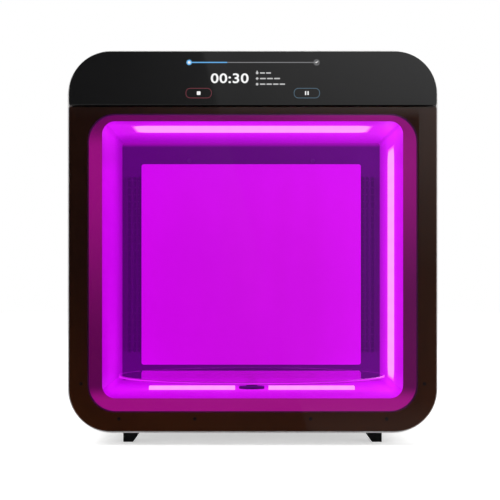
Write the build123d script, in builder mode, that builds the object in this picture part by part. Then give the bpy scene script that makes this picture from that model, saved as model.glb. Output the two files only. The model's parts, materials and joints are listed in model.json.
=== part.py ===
from build123d import *
import os
from math import cos, radians, sin

os.makedirs("parts", exist_ok=True)

# Light curing cabinet for printed parts, in millimetres.
# X runs to the right, the front faces -Y and Z is up. The origin lies on the
# standing surface, under the middle of the body.

# ---------------------------------------------------------------- overall
front_width = 530.0           # dark front, left to right
front_height = 547.5          # door and fascia together
body_depth = 560.0            # face of the glass to the rear edge of the shell
corner_radius = 60.0          # four corners of the dark front
foot_height = 16.0            # clear height under the shell
shell_reveal = 4.5            # how far the shell stands out round the front
shell_wall = 2.5
shell_edge = 1.0              # rounded front edge of the shell
trim_radius = 3.0             # corners of small plates and housings

# ---------------------------------------------------------------- clearances
panel_gap = 0.4               # panel edge to the casing it drops into
insert_gap = 0.2              # insert in its cut-out, all round
running_gap = 0.05            # shaft in its bearing, on the radius
screw_gap = 0.25              # screw in a clearance hole, on the radius
thread_gap = 0.03             # screw in its own thread, on the radius
soft_gap = 0.3                # soft pieces to what they lie on

# ---------------------------------------------------------------- front and door
fascia_height = 77.5
seam_gap = 2.0                # open line between fascia and door
seam_corner = 3.0             # small corners on both sides of that line
glass_thickness = 4.0
glass_edge = 0.7              # polished edge of both glasses
door_frame_depth = 15.0
door_back_depth = 8.0
door_gap = 2.0                # closed door to the front frame
door_inset = 0.6              # frame and tray stand back from the glass edge
border_side = 27.0            # opaque border of the door, left and right
border_bottom = 27.5
border_top = 10.5
window_radius = 39.0
back_round = 7.3              # rounded rear edge of the door, clears the frame as it swings
door_screw_head = 2.6
door_screw_radius = 1.6
door_screw_bite = 4.0         # screws into the back of the door
door_screw_margin = 9.5       # screws to the edge of the window
door_screw_inner = 83.5       # lower screws to the middle
door_screw_outer = 193.0
door_screw_rise = 41.0        # side screws above the bottom of the window

# ---------------------------------------------------------------- hinge
hinge_inset = 10.5            # hinge axis to the left edge of the door
hinge_setback = 14.0          # hinge axis behind the face of the glass
hinge_rise = 90.0             # lower knuckle above the bottom of the door
hinge_drop = 60.0             # upper knuckle below the top of the door
knuckle_radius = 6.0
knuckle_length = 30.0
knuckle_clearance = 1.0       # pocket in the door, above and below the knuckle
pocket_clearance = 1.8        # pocket in the door, round the knuckle
pin_radius = 3.0
pin_seat = 12.0               # length of pin held in the door at each end
arm_thickness = 6.0
leaf_width = 15.0
leaf_height = 56.0
leaf_thickness = 3.0
leaf_corner = 2.8
leaf_edge = 2.5               # leaf to the edge of the front frame
leaf_screw_pitch = 42.0

# ---------------------------------------------------------------- finger recess and catches
recess_height = 100.0
recess_reach = 11.0           # how far fingers reach in from the right edge
recess_front = 3.0            # how far the recess cuts into the door frame
recess_drop = 30.0            # middle of the recess below the middle of the window
catch_spread = 150.0          # catches above and below the middle of the window
sensor_rise = 60.0            # door sensor above the middle of the window
magnet_radius = 5.0
magnet_depth = 6.0
strike_thickness = 2.0
sensor_width = 10.0
sensor_height = 24.0
sensor_depth = 7.0
sensor_magnet_radius = 2.5

# ---------------------------------------------------------------- front frame and mouth
front_frame_depth = 12.0
frame_skin = 3.0
frame_rib = 3.0
bezel_rim = 2.0               # flat rim of the mouth bezel outside the window
funnel_side = 18.0            # how far the mouth narrows, left and right
funnel_bottom = 17.5
funnel_top = 7.5
mouth_radius = 19.0
seal_width = 5.0
seal_thickness = 1.6
seal_offset = 1.0             # seal to the opening of the front frame

# ---------------------------------------------------------------- chamber
liner_wall = 1.5
liner_radius = 4.0
liner_flange = 26.0
pan_side = 12.0               # upturned sides of the floor pan
pan_joint = 0.5               # open joint between pan and upper liner
wall_overlap = 8.0            # rear wall outside the liner
reflector_side = 34.0         # reflector to the chamber wall, left and right
reflector_bottom = 27.5
reflector_top = 37.5
reflector_standoff = 27.0     # face of the reflector ahead of the rear wall
reflector_radius = 4.0
reflector_flange = 8.0
reflector_sheet = 1.5
reflector_edge = 0.9          # rounded front edge of the reflector
standoff_radius = 5.0
standoff_inset_x = 36.0
standoff_inset_z = 36.0

# ---------------------------------------------------------------- turntable
turntable_margin = 10.0       # glass edge to the chamber side walls
turntable_setback = 224.0     # turntable axis behind the front frame
turntable_height = 18.5       # underside of the glass above the floor
turntable_glass = 4.0
turntable_edge = 1.2          # rounded edge of the glass disc
hub_radius = 22.0
hub_thickness = 4.0
hub_edge = 1.0                # rounded edges of hub and bearing
column_radius = 5.5
spindle_radius = 3.0
spindle_length = 18.0
bearing_radius = 20.0
bearing_flange = 4.0
boss_radius = 9.0
boss_height = 4.5
gearmotor_radius = 12.5
gearmotor_length = 36.0
gearmotor_plate = 2.0
gearmotor_plate_width = 27.0
gearmotor_plate_length = 50.0

# ---------------------------------------------------------------- light panels
top_light_side = 37.0         # panel to the chamber side walls
top_light_front = 81.0        # panel behind the chamber mouth
top_light_length = 138.0
right_light_front = 155.0
right_light_length = 130.0
right_light_bottom = 15.0     # panel above the floor
right_light_top = 23.0        # panel below the ceiling
floor_bar_inner = 26.5        # bars to the middle of the floor
floor_bar_length = 135.0
floor_bar_width = 26.0
floor_bar_setback = 207.0     # middle of the bars behind the front frame
floor_bar_rise = 5.0
light_radius = 3.0
diffuser_flange = 6.0
diffuser_sheet = 2.0
skirt_gap = 1.0
skirt_wall = 4.0
skirt_height = 12.0
sink_base = 4.0
fin_height = 20.0
low_fin_height = 14.0
fin_thickness = 1.5
fin_pitch = 10.0
board_thickness = 1.6
emitter_size = 5.0
emitter_height = 1.2
emitter_pitch = 24.0

# ---------------------------------------------------------------- warm air
plenum_wall = 1.5
plenum_side = 4.0             # plenum to the chamber side walls, seen from the front
plenum_bottom = 30.0
plenum_top = 15.0
slot_width = 5.5
slot_count = 3
slot_pitch = 8.5
slot_height = 300.0
slot_edge = 21.0              # middle of the slot group to the side wall
slot_middle = 5.0             # slot group below the middle of the chamber
inlet_radius = 55.0
impeller_radius = 75.0
impeller_width = 18.0
impeller_eye = 44.0
impeller_plate = 2.0
blade_count = 14
blade_thickness = 1.5
blade_sweep_middle = 14.0     # turn of each blade from its root to its middle
blade_sweep_tip = 34.0        # and to its tip
fan_hub_radius = 14.0
fan_shaft_radius = 4.0
fan_shaft_length = 16.0
fan_shaft_clearance = 4.0     # hole in the duct, round the shaft
fan_motor_radius = 40.0
fan_motor_length = 22.0
fan_motor_edge = 3.0
fan_front_gap = 4.0           # impeller behind the rear wall
fan_rear_gap = 8.0            # impeller to the back of the duct
motor_gap = 8.5               # fan motor to the rear panel
heater_width = 22.0
heater_depth = 18.0
heater_tube = 4.0
heater_fin = 1.0
heater_fin_pitch = 12.0
wall_screw_spread = 211.0
wall_screw_drop = 30.0
screw_tab = 24.0              # tabs of the duct that the rear wall's screws hold
probe_radius = 3.0
probe_length = 15.0
probe_collar_radius = 6.0
probe_collar = 3.0
probe_tip = 1.5               # rounding of the tip
probe_x = 110.0
probe_rise = 40.0             # probe above the bottom of the reflector
insulation_thickness = 10.0

# ---------------------------------------------------------------- chassis and rear
base_sheet = 2.0
base_upstand = 16.0
support_size = 22.0
support_inset_x = 32.0        # supports inside the chamber walls
support_inset_y = 90.0        # supports to both ends of the base plate
panel_inset = 5.0             # rear panel inside the rear edge of the shell
panel_sheet = 2.0
lip_width = 12.0
lip_sheet = 2.0
panel_screw_edge = 6.0
fan_size = 80.0
fan_depth = 25.0
fan_bore = 38.0
fan_spread = 300.0
fan_drop = 56.0               # fan centres below the top of the shell
fan_screw_pitch = 71.5
fan_gap = 1.0                 # blade tips to the bore
fan_web = 5.0
web_thickness = 2.5
fan_screw_bite = 12.5         # guard screws into the fan frame
rotor_hub = 18.0
rotor_depth = 16.0
rotor_gap = 1.0               # rotor to the motor disc behind it
rotor_spindle = 2.0
rotor_chord = 18.0
rotor_blade = 1.5
rotor_blades = 7
rotor_blade_tilt = 38.0
guard_wire = 1.8
guard_rings = 4
ear_radius = 5.0
vent_length = 70.0
vent_width = 4.0
vent_pitch = 10.0
vent_rows = 6
vent_spread = 240.0
vent_rise = 90.0              # middle of the rear vents above the bottom of the shell
intake_spread = 200.0
intake_setback = 60.0
inlet_inset = 24.6            # mains inlet to the side edge of the base plate
inlet_rise = 26.0             # mains inlet above the base plate
inlet_width = 48.0
inlet_height = 30.0
inlet_flange = 2.5
socket_width = 24.5
socket_height = 16.5
socket_depth = 18.0
socket_wall = 1.8
socket_chamfer = 4.1          # upper corners of the socket
socket_offset = 2.0           # middle contact above, outer contacts below the middle
contact_thickness = 2.0
contact_width = 4.0
contact_length = 12.0
contact_pitch = 7.0
snap_grip = 1.5               # snap catches of the inlet behind the rear panel
snap_height = 8.0
switch_pitch = 52.0           # switch beside the mains inlet
switch_width = 22.0
switch_height = 30.0
switch_radius = 2.1
rocker_width = 13.0
rocker_height = 20.0
rocker_tilt = 12.0
rocker_gap = 0.8
rocker_face = 3.5             # ends of the rocker ahead of its pivot
rocker_waist = 1.8            # middle of the rocker ahead of its pivot
rocker_root = 5.0             # rocker behind its pivot
rocker_root_height = 10.0
pivot_radius = 1.5
pivot_depth = 2.0             # rocker pivot inside the panel
switch_depth = 14.0

# ---------------------------------------------------------------- feet and screws
foot_width = 21.0
foot_length = 40.0
foot_inset = 24.6             # feet to the side edges of the base plate
foot_setback = 80.0           # feet to the front and rear of the body
foot_bevel_width = 6.5
foot_bevel_height = 9.0
foot_round = 1.5
foot_head_depth = 8.0         # screw head inside the sole
screw_radius = 2.0
screw_head = 3.8
screw_head_height = 2.4
cross_length = 4.4
cross_width = 0.9
cross_depth = 1.3

# ---------------------------------------------------------------- electronics
tray_wall = 2.5
display_width = 214.0
display_margin = 5.75         # display to the edges of the fascia, above and below
display_depth = 6.0
display_gap = 0.5             # display behind the fascia glass
post_radius = 4.0
post_inset = 8.0
card_post_radius = 3.0
card_width = 160.0
card_height = 46.0
supply_width = 118.0
supply_length = 170.0
supply_height = 34.0
supply_side = 30.6            # supply to the side edge of the base plate
supply_rear = 35.6            # and to its rear edge
driver_width = 130.0
driver_length = 150.0
driver_side = 64.6            # driver board to the other side edge
driver_rear = 45.6            # and to the rear edge
driver_post = 8.0
driver_block = 16.0           # power components on the driver board
driver_block_height = 8.0
chip_size = 11.5              # packages on the control board

# ================================================================ derived places
front_base = foot_height + shell_reveal
front_top = front_base + front_height
front_mid = (front_base + front_top) / 2
front_face = -body_depth / 2
back_edge = body_depth / 2
glass_back = front_face + glass_thickness
door_frame_back = glass_back + door_frame_depth
door_rear = door_frame_back + door_back_depth
frame_front = door_rear + door_gap
frame_back = frame_front + front_frame_depth

shell_width = front_width + 2 * shell_reveal
shell_height = front_height + 2 * shell_reveal
shell_radius = corner_radius + shell_reveal
inner_width = shell_width - 2 * shell_wall
inner_height = shell_height - 2 * shell_wall
inner_radius = shell_radius - shell_wall
shell_top = foot_height + shell_height
shell_floor = foot_height + shell_wall
base_top = shell_floor + base_sheet

fascia_base = front_top - fascia_height
door_top = fascia_base - seam_gap
window_width = front_width - 2 * border_side
window_base = front_base + border_bottom
window_top = door_top - border_top
window_height = window_top - window_base
window_mid = (window_base + window_top) / 2

chamber_width = window_width - 2 * funnel_side
chamber_floor = window_base + funnel_bottom
chamber_top = window_top - funnel_top
chamber_height = chamber_top - chamber_floor
chamber_mid = (chamber_floor + chamber_top) / 2
chamber_side = chamber_width / 2
plenum_depth = fan_front_gap + impeller_width + fan_rear_gap
panel_back = back_edge - panel_inset
panel_front = panel_back - panel_sheet
lip_front = panel_front - lip_sheet
chamber_back = panel_front - motor_gap - fan_motor_length - plenum_depth - liner_wall
chamber_depth = chamber_back - frame_back
liner_width = chamber_width + 2 * liner_wall
liner_height = chamber_height + 2 * liner_wall

hole_width = window_width + 2 * bezel_rim
hole_height = window_height + 2 * bezel_rim
hole_radius = window_radius + bezel_rim
frame_width = inner_width - 2 * panel_gap
frame_height = inner_height - 2 * panel_gap
frame_radius = inner_radius - panel_gap


hinge_x = -front_width / 2 + hinge_inset
hinge_y = front_face + hinge_setback
hinge_heights = {"lower": front_base + hinge_rise, "upper": door_top - hinge_drop}
leaf_x = -frame_width / 2 + leaf_edge + leaf_width / 2
catch_heights = (window_mid - catch_spread, window_mid + catch_spread)
sensor_z = window_mid + sensor_rise
recess_z = window_mid - recess_drop
seal_inner = seal_offset
seal_outer = seal_offset + seal_width
# Catches lie midway between the seal and the flat rear edge of the door.
catch_x = (hole_width / 2 + seal_outer + front_width / 2 - door_inset - back_round) / 2

turntable_y = frame_back + turntable_setback
glass_under = chamber_floor + turntable_height
turntable_radius = chamber_side - turntable_margin

reflector_front = chamber_back - reflector_standoff
reflector_width = chamber_width - 2 * reflector_side
reflector_base = chamber_floor + reflector_bottom
reflector_top_edge = chamber_top - reflector_top
reflector_height = reflector_top_edge - reflector_base
reflector_mid = (reflector_base + reflector_top_edge) / 2

rear_wall_back = chamber_back + liner_wall
plenum_back = rear_wall_back + plenum_depth
plenum_width = chamber_width - 2 * plenum_side
plenum_base = chamber_floor + plenum_bottom
plenum_height = chamber_top - plenum_top - plenum_base
plenum_mid = plenum_base + plenum_height / 2
slot_x = chamber_side - slot_edge
slot_z = chamber_mid - slot_middle
fan_back = rear_wall_back + fan_front_gap + impeller_width
wall_screw_z = chamber_top - wall_screw_drop

base_half = inner_width / 2 - inner_radius - panel_gap
base_rear = lip_front - panel_gap
base_length = base_rear - frame_back
base_mid_y = frame_back + base_length / 2
foot_spread_x = 2 * (base_half - foot_inset)
foot_spread_y = body_depth - 2 * foot_setback
support_spread_x = chamber_width - 2 * support_inset_x
support_spread_y = base_length - 2 * support_inset_y
inlet_x = base_half - inlet_inset
switch_x = inlet_x - switch_pitch
supply_x = supply_side + supply_width / 2 - base_half
supply_y = base_rear - supply_rear - supply_length / 2
driver_x = base_half - driver_side - driver_width / 2
driver_y = base_rear - driver_rear - driver_length / 2

fan_z = shell_top - fan_drop
vent_z = foot_height + vent_rise
inlet_z = base_top + inlet_rise
screw_half_x = inner_width / 2 - panel_screw_edge
screw_half_z = inner_height / 2 - panel_screw_edge
panel_screw_spots = [(sx * screw_half_x, sz * inner_height / 4) for sx in (-1, 1) for sz in (-1, 0, 1)]
panel_screw_spots += [(sx * inner_width / 4, sz * screw_half_z) for sx in (-1, 1) for sz in (-1, 1)]
fan_centres = {"left": -fan_spread / 2, "right": fan_spread / 2}


def facing_front(y, z, x=0.0):
    """Upright plane at depth y, origin at height z, looking out of the front."""
    return Plane(origin=(x, y, z), x_dir=(1, 0, 0), z_dir=(0, -1, 0))


def facing_rear(x, y, z):
    """Upright plane at (x, y, z), looking out of the rear."""
    return Plane(origin=(x, y, z), x_dir=(-1, 0, 0), z_dir=(0, 1, 0))


def cross_recess(plane, length):
    """Cross recess sunk into the screw head that ends at the plane."""
    with Locations(plane):
        for length_x, length_y in ((length, cross_width), (cross_width, length)):
            Box(length_x, length_y, cross_depth, mode=Mode.SUBTRACT,
                align=(Align.CENTER, Align.CENTER, Align.MAX))


def sunk_head(plane, head, shank, length):
    """Countersunk screw: its flat head lies in the plane and it runs against the normal."""
    taper = head - shank
    with Locations(plane):
        Cone(shank, head, taper, align=(Align.CENTER, Align.CENTER, Align.MAX))
        Cylinder(shank, length, align=(Align.CENTER, Align.CENTER, Align.MAX))
    cross_recess(plane, head)


def pan_head(plane, shank, length):
    """Pan screw: its head stands on the plane."""
    with Locations(plane):
        Cylinder(shank, length, align=(Align.CENTER, Align.CENTER, Align.MAX))
        Cylinder(screw_head, screw_head_height, align=(Align.CENTER, Align.CENTER, Align.MIN))
    cross_recess(plane.offset(screw_head_height), cross_length)


# ================================================================ casing

with BuildPart() as outer_shell:
    with BuildSketch(facing_front(back_edge, front_mid)):
        RectangleRounded(shell_width, shell_height, shell_radius)
        RectangleRounded(inner_width, inner_height, inner_radius, mode=Mode.SUBTRACT)
    extrude(amount=back_edge - frame_front)
    fillet(outer_shell.faces().sort_by(Axis.Y)[0].outer_wire().edges(), shell_edge)
    # Inward lip at the rear, which the rear panel is screwed to.
    with BuildSketch(facing_front(panel_front, front_mid)):
        RectangleRounded(inner_width, inner_height, inner_radius)
        RectangleRounded(inner_width - 2 * lip_width, inner_height - 2 * lip_width,
                         inner_radius - lip_width, mode=Mode.SUBTRACT)
        with Locations(*panel_screw_spots):
            Circle(screw_radius + thread_gap, mode=Mode.SUBTRACT)
    extrude(amount=lip_sheet)
    # Screw holes for the feet and air intakes in the bottom.
    with BuildSketch(Plane.XY.offset(foot_height)):
        with GridLocations(foot_spread_x, foot_spread_y, 2, 2):
            Circle(screw_radius + screw_gap)
        with Locations((0, intake_setback)):
            with GridLocations(intake_spread, vent_pitch, 2, vent_rows):
                SlotOverall(vent_length, vent_width)
    extrude(amount=shell_wall, mode=Mode.SUBTRACT)
outer_shell.part.label = "outer_shell"
export_step(outer_shell.part, "parts/outer_shell.step")

with BuildPart() as base_plate:
    with BuildSketch(facing_front(base_rear, shell_floor)):
        with Locations((0, 0)):
            Rectangle(2 * base_half, base_sheet + base_upstand, align=(Align.CENTER, Align.MIN))
        with Locations((0, base_sheet)):
            Rectangle(2 * (base_half - base_sheet), base_upstand, mode=Mode.SUBTRACT,
                      align=(Align.CENTER, Align.MIN))
    extrude(amount=base_length)
    with BuildSketch(Plane.XY.offset(shell_floor)):
        with GridLocations(foot_spread_x, foot_spread_y, 2, 2):
            Circle(screw_radius + thread_gap)
        with Locations((0, intake_setback)):
            with GridLocations(intake_spread, vent_pitch, 2, vent_rows):
                SlotOverall(vent_length, vent_width)
    extrude(amount=base_sheet, mode=Mode.SUBTRACT)
base_plate.part.label = "base_plate"
export_step(base_plate.part, "parts/base_plate.step")

# Rubber feet: upright outside, bevelled towards the middle.
with BuildPart() as feet:
    for side in (-1, 1):
        for foot_y in (-foot_spread_y / 2, foot_spread_y / 2):
            outer_x = side * (foot_spread_x + foot_width) / 2
            inner_x = side * (foot_spread_x - foot_width) / 2
            with BuildSketch(facing_front(foot_y + foot_length / 2, 0)):
                with BuildLine():
                    Polyline((outer_x, 0), (outer_x, foot_height), (inner_x, foot_height),
                             (inner_x, foot_bevel_height), (inner_x + side * foot_bevel_width, 0),
                             close=True)
                make_face()
            extrude(amount=foot_length)
    fillet(feet.edges().filter_by(Axis.Z), foot_round)
    with BuildSketch(Plane.XY):
        with GridLocations(foot_spread_x, foot_spread_y, 2, 2):
            Circle(screw_radius + screw_gap)
    extrude(amount=foot_height, mode=Mode.SUBTRACT)
    with BuildSketch(Plane.XY):
        with GridLocations(foot_spread_x, foot_spread_y, 2, 2):
            Circle(screw_head + screw_gap)
    extrude(amount=foot_head_depth, mode=Mode.SUBTRACT)
feet.part.label = "feet"
export_step(feet.part, "parts/feet.step")

with BuildPart() as foot_screws:
    for x in (-foot_spread_x / 2, foot_spread_x / 2):
        for y in (-foot_spread_y / 2, foot_spread_y / 2):
            head_seat = Plane(origin=(x, y, foot_head_depth), z_dir=(0, 0, -1))
            pan_head(head_seat, screw_radius, base_top - foot_head_depth)
foot_screws.part.label = "foot_screws"
export_step(foot_screws.part, "parts/foot_screws.step")

# ================================================================ front frame

catch_spots = [(catch_x, z - front_mid) for z in catch_heights]
hinge_spots = [(leaf_x, z - front_mid) for z in hinge_heights.values()]
block_width = leaf_width + 2 * leaf_edge
with BuildPart() as front_frame:
    with BuildSketch(facing_front(frame_back, front_mid)):
        RectangleRounded(frame_width, frame_height, frame_radius)
        with Locations((0, window_mid - front_mid)):
            RectangleRounded(hole_width, hole_height, hole_radius, mode=Mode.SUBTRACT)
    extrude(amount=front_frame_depth)
    # The back is hollow between its outer rim, the rim of the mouth and the blocks
    # that hinges, catches and the door sensor are fixed in.
    with BuildSketch(facing_front(frame_back, front_mid)):
        RectangleRounded(frame_width - 2 * frame_rib, frame_height - 2 * frame_rib,
                         frame_radius - frame_rib)
        with Locations((0, window_mid - front_mid)):
            RectangleRounded(hole_width + 2 * frame_rib, hole_height + 2 * frame_rib,
                             hole_radius + frame_rib, mode=Mode.SUBTRACT)
        with Locations(*hinge_spots):
            Rectangle(block_width + 2 * frame_rib, leaf_height + 4 * frame_rib, mode=Mode.SUBTRACT)
        with Locations(*catch_spots, (catch_x, sensor_z - front_mid)):
            Rectangle(block_width + 2 * frame_rib, sensor_height + 4 * frame_rib, mode=Mode.SUBTRACT)
    extrude(amount=front_frame_depth - frame_skin, mode=Mode.SUBTRACT)
    # Rebates for the hinge leaves, with their screw holes.
    with BuildSketch(facing_front(frame_front, front_mid)):
        with Locations(*hinge_spots):
            RectangleRounded(leaf_width + 2 * insert_gap, leaf_height + 2 * insert_gap,
                             leaf_corner + insert_gap)
    extrude(amount=-leaf_thickness, mode=Mode.SUBTRACT)
    with BuildSketch(facing_front(frame_front, front_mid)):
        for x, z in hinge_spots:
            with Locations((x, z)):
                with GridLocations(0, leaf_screw_pitch, 1, 2):
                    Circle(screw_radius + thread_gap)
    extrude(amount=-front_frame_depth, mode=Mode.SUBTRACT)
    # Seats of the catch magnets and of the door sensor.
    with BuildSketch(facing_front(frame_front, front_mid)):
        with Locations(*catch_spots):
            Circle(magnet_radius + insert_gap)
    extrude(amount=-magnet_depth, mode=Mode.SUBTRACT)
    with BuildSketch(facing_front(frame_front, sensor_z)):
        with Locations((catch_x, 0)):
            Rectangle(sensor_width + 2 * insert_gap, sensor_height + 2 * insert_gap)
    extrude(amount=-sensor_depth, mode=Mode.SUBTRACT)
front_frame.part.label = "front_frame"
export_step(front_frame.part, "parts/front_frame.step")

# Bezel that narrows from the window to the mouth of the chamber.
with BuildPart() as mouth_bezel:
    with BuildSketch(facing_front(frame_back, window_mid)):
        RectangleRounded(hole_width - 2 * insert_gap, hole_height - 2 * insert_gap,
                         hole_radius - insert_gap)
    extrude(amount=front_frame_depth)
    with BuildSketch(facing_front(frame_front, window_mid)):
        RectangleRounded(window_width, window_height, window_radius)
    with BuildSketch(facing_front(frame_back, chamber_mid)):
        RectangleRounded(chamber_width, chamber_height, mouth_radius)
    loft(mode=Mode.SUBTRACT)
mouth_bezel.part.label = "mouth_bezel"
export_step(mouth_bezel.part, "parts/mouth_bezel.step")

# Door seal, a soft strip round the opening of the front frame.
with BuildPart() as door_seal:
    with BuildSketch(facing_front(frame_front, window_mid)):
        RectangleRounded(hole_width + 2 * seal_outer, hole_height + 2 * seal_outer,
                         hole_radius + seal_outer)
        RectangleRounded(hole_width + 2 * seal_inner, hole_height + 2 * seal_inner,
                         hole_radius + seal_inner, mode=Mode.SUBTRACT)
    extrude(amount=seal_thickness)
door_seal.part.label = "door_seal"
export_step(door_seal.part, "parts/door_seal.step")

with BuildPart() as catch_magnets:
    with BuildSketch(facing_front(frame_front + magnet_depth, front_mid)):
        with Locations(*catch_spots):
            Circle(magnet_radius)
    extrude(amount=magnet_depth)
catch_magnets.part.label = "catch_magnets"
export_step(catch_magnets.part, "parts/catch_magnets.step")

with BuildPart() as door_sensor:
    with BuildSketch(facing_front(frame_front + sensor_depth, sensor_z)):
        with Locations((catch_x, 0)):
            Rectangle(sensor_width, sensor_height)
    extrude(amount=sensor_depth)
door_sensor.part.label = "door_sensor"
export_step(door_sensor.part, "parts/door_sensor.step")

# ================================================================ hinge

for place, knuckle_z in hinge_heights.items():
    with BuildPart() as hinge_bracket:
        with BuildSketch(facing_front(frame_front + leaf_thickness, knuckle_z)):
            with Locations((leaf_x, 0)):
                RectangleRounded(leaf_width, leaf_height, leaf_corner)
        extrude(amount=leaf_thickness)
        with BuildSketch(Plane.XY.offset(knuckle_z - knuckle_length / 2)):
            with Locations((hinge_x, hinge_y)):
                Circle(knuckle_radius)
                Rectangle(arm_thickness, frame_front - hinge_y, align=(Align.CENTER, Align.MIN))
        extrude(amount=knuckle_length)
        with BuildSketch(Plane.XY.offset(knuckle_z - knuckle_length / 2)):
            with Locations((hinge_x, hinge_y)):
                Circle(pin_radius + running_gap)
        extrude(amount=knuckle_length, mode=Mode.SUBTRACT)
        for step in (-1, 1):
            screw_z = knuckle_z + step * leaf_screw_pitch / 2
            with Locations(facing_front(frame_front, screw_z, leaf_x)):
                CounterSinkHole(screw_radius + screw_gap, screw_head + screw_gap, leaf_thickness)
    hinge_bracket.part.label = f"hinge_bracket_{place}"
    export_step(hinge_bracket.part, f"parts/hinge_bracket_{place}.step")

with BuildPart() as hinge_screws:
    for knuckle_z in hinge_heights.values():
        for step in (-1, 1):
            screw_z = knuckle_z + step * leaf_screw_pitch / 2
            seat = facing_front(frame_front, screw_z, leaf_x)
            sunk_head(seat, screw_head, screw_radius, front_frame_depth)
hinge_screws.part.label = "hinge_screws"
export_step(hinge_screws.part, "parts/hinge_screws.step")

# ================================================================ door

door_cut = door_top - front_mid
pocket_half = knuckle_length / 2 + knuckle_clearance
pocket_reach = knuckle_radius + pocket_clearance
door_screw_spots = [(side * x, window_base - door_screw_margin - front_mid)
                    for side in (-1, 1) for x in (door_screw_inner, door_screw_outer)]
door_screw_spots += [(side * (window_width / 2 + door_screw_margin),
                      window_base + door_screw_rise - front_mid) for side in (-1, 1)]

with BuildPart() as door_glass:
    with BuildSketch(facing_front(glass_back, front_mid)):
        RectangleRounded(front_width, front_height, corner_radius)
        with Locations((0, door_cut)):
            Rectangle(front_width, front_height, mode=Mode.SUBTRACT, align=(Align.CENTER, Align.MIN))
        fillet(vertices().sort_by(Axis.Y)[-2:], seam_corner)
    extrude(amount=glass_thickness)
    chamfer(door_glass.faces().sort_by(Axis.Y)[0].outer_wire().edges(), glass_edge)
door_glass.part.label = "door_glass"
export_step(door_glass.part, "parts/door_glass.step")

with BuildPart() as door_frame:
    with BuildSketch(facing_front(door_frame_back, front_mid)):
        RectangleRounded(front_width - 2 * door_inset, front_height - 2 * door_inset,
                         corner_radius - door_inset)
        with Locations((0, door_cut - door_inset)):
            Rectangle(front_width, front_height, mode=Mode.SUBTRACT, align=(Align.CENTER, Align.MIN))
        fillet(vertices().sort_by(Axis.Y)[-2:], seam_corner)
        with Locations((0, window_mid - front_mid)):
            RectangleRounded(window_width, window_height, window_radius, mode=Mode.SUBTRACT)
    extrude(amount=door_frame_depth)
    # Pockets open to the side and rear, so that the knuckles stay clear as the door swings.
    for knuckle_z in hinge_heights.values():
        with Locations((hinge_x + pocket_reach, door_frame_back, knuckle_z)):
            Box(front_width, door_frame_back - hinge_y + pocket_reach, 2 * pocket_half,
                align=(Align.MAX, Align.MAX, Align.CENTER), mode=Mode.SUBTRACT)
        with Locations((hinge_x, hinge_y, knuckle_z)):
            Cylinder(pin_radius + thread_gap, 2 * (pocket_half + pin_seat), mode=Mode.SUBTRACT)
    with Locations((front_width / 2 - recess_reach, door_frame_back, recess_z)):
        Box(front_width, recess_front, recess_height,
            align=(Align.MIN, Align.MAX, Align.CENTER), mode=Mode.SUBTRACT)
    for x, z in door_screw_spots:
        with Locations(facing_front(glass_back, z + front_mid, x)):
            CounterSinkHole(door_screw_radius, door_screw_head, door_frame_depth)
door_frame.part.label = "door_frame"
export_step(door_frame.part, "parts/door_frame.step")

with BuildPart() as door_back:
    with BuildSketch(facing_front(door_rear, front_mid)):
        RectangleRounded(front_width - 2 * door_inset, front_height - 2 * door_inset,
                         corner_radius - door_inset)
        with Locations((0, door_cut - door_inset)):
            Rectangle(front_width, front_height, mode=Mode.SUBTRACT, align=(Align.CENTER, Align.MIN))
    extrude(amount=door_back_depth)
    rear_rim = door_back.faces().sort_by(Axis.Y)[-1].outer_wire().edges()
    fillet(rear_rim.sort_by(Axis.Z)[:-1], back_round)
    with BuildSketch(facing_front(door_rear, window_mid)):
        RectangleRounded(window_width, window_height, window_radius)
    extrude(amount=door_back_depth, mode=Mode.SUBTRACT)
    for knuckle_z in hinge_heights.values():
        with Locations((hinge_x + pocket_reach, door_rear, knuckle_z)):
            Box(front_width, door_back_depth, 2 * pocket_half,
                align=(Align.MAX, Align.MAX, Align.CENTER), mode=Mode.SUBTRACT)
    with Locations((front_width / 2 - recess_reach, door_rear, recess_z)):
        Box(front_width, door_back_depth, recess_height,
            align=(Align.MIN, Align.MAX, Align.CENTER), mode=Mode.SUBTRACT)
    for x, z in catch_spots:
        with Locations(facing_rear(x, door_rear, z + front_mid)):
            Cylinder(magnet_radius + insert_gap, strike_thickness, mode=Mode.SUBTRACT,
                     align=(Align.CENTER, Align.CENTER, Align.MAX))
    with Locations(facing_rear(catch_x, door_rear, sensor_z)):
        Cylinder(sensor_magnet_radius + insert_gap, magnet_depth, mode=Mode.SUBTRACT,
                 align=(Align.CENTER, Align.CENTER, Align.MAX))
    for x, z in door_screw_spots:
        with Locations(facing_rear(x, door_frame_back, z + front_mid)):
            Cylinder(door_screw_radius, door_screw_bite, mode=Mode.SUBTRACT,
                     align=(Align.CENTER, Align.CENTER, Align.MIN))
door_back.part.label = "door_back"
export_step(door_back.part, "parts/door_back.step")

with BuildPart() as hinge_pins:
    for knuckle_z in hinge_heights.values():
        with Locations((hinge_x, hinge_y, knuckle_z)):
            Cylinder(pin_radius, 2 * (pocket_half + pin_seat))
hinge_pins.part.label = "hinge_pins"
export_step(hinge_pins.part, "parts/hinge_pins.step")

with BuildPart() as door_screws:
    for x, z in door_screw_spots:
        seat = facing_front(glass_back, z + front_mid, x)
        sunk_head(seat, door_screw_head - thread_gap, door_screw_radius - thread_gap,
                  door_frame_depth + door_screw_bite)
door_screws.part.label = "door_screws"
export_step(door_screws.part, "parts/door_screws.step")

with BuildPart() as strike_plates:
    for x, z in catch_spots:
        with Locations(facing_rear(x, door_rear, z + front_mid)):
            Cylinder(magnet_radius, strike_thickness, align=(Align.CENTER, Align.CENTER, Align.MAX))
strike_plates.part.label = "strike_plates"
export_step(strike_plates.part, "parts/strike_plates.step")

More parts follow.
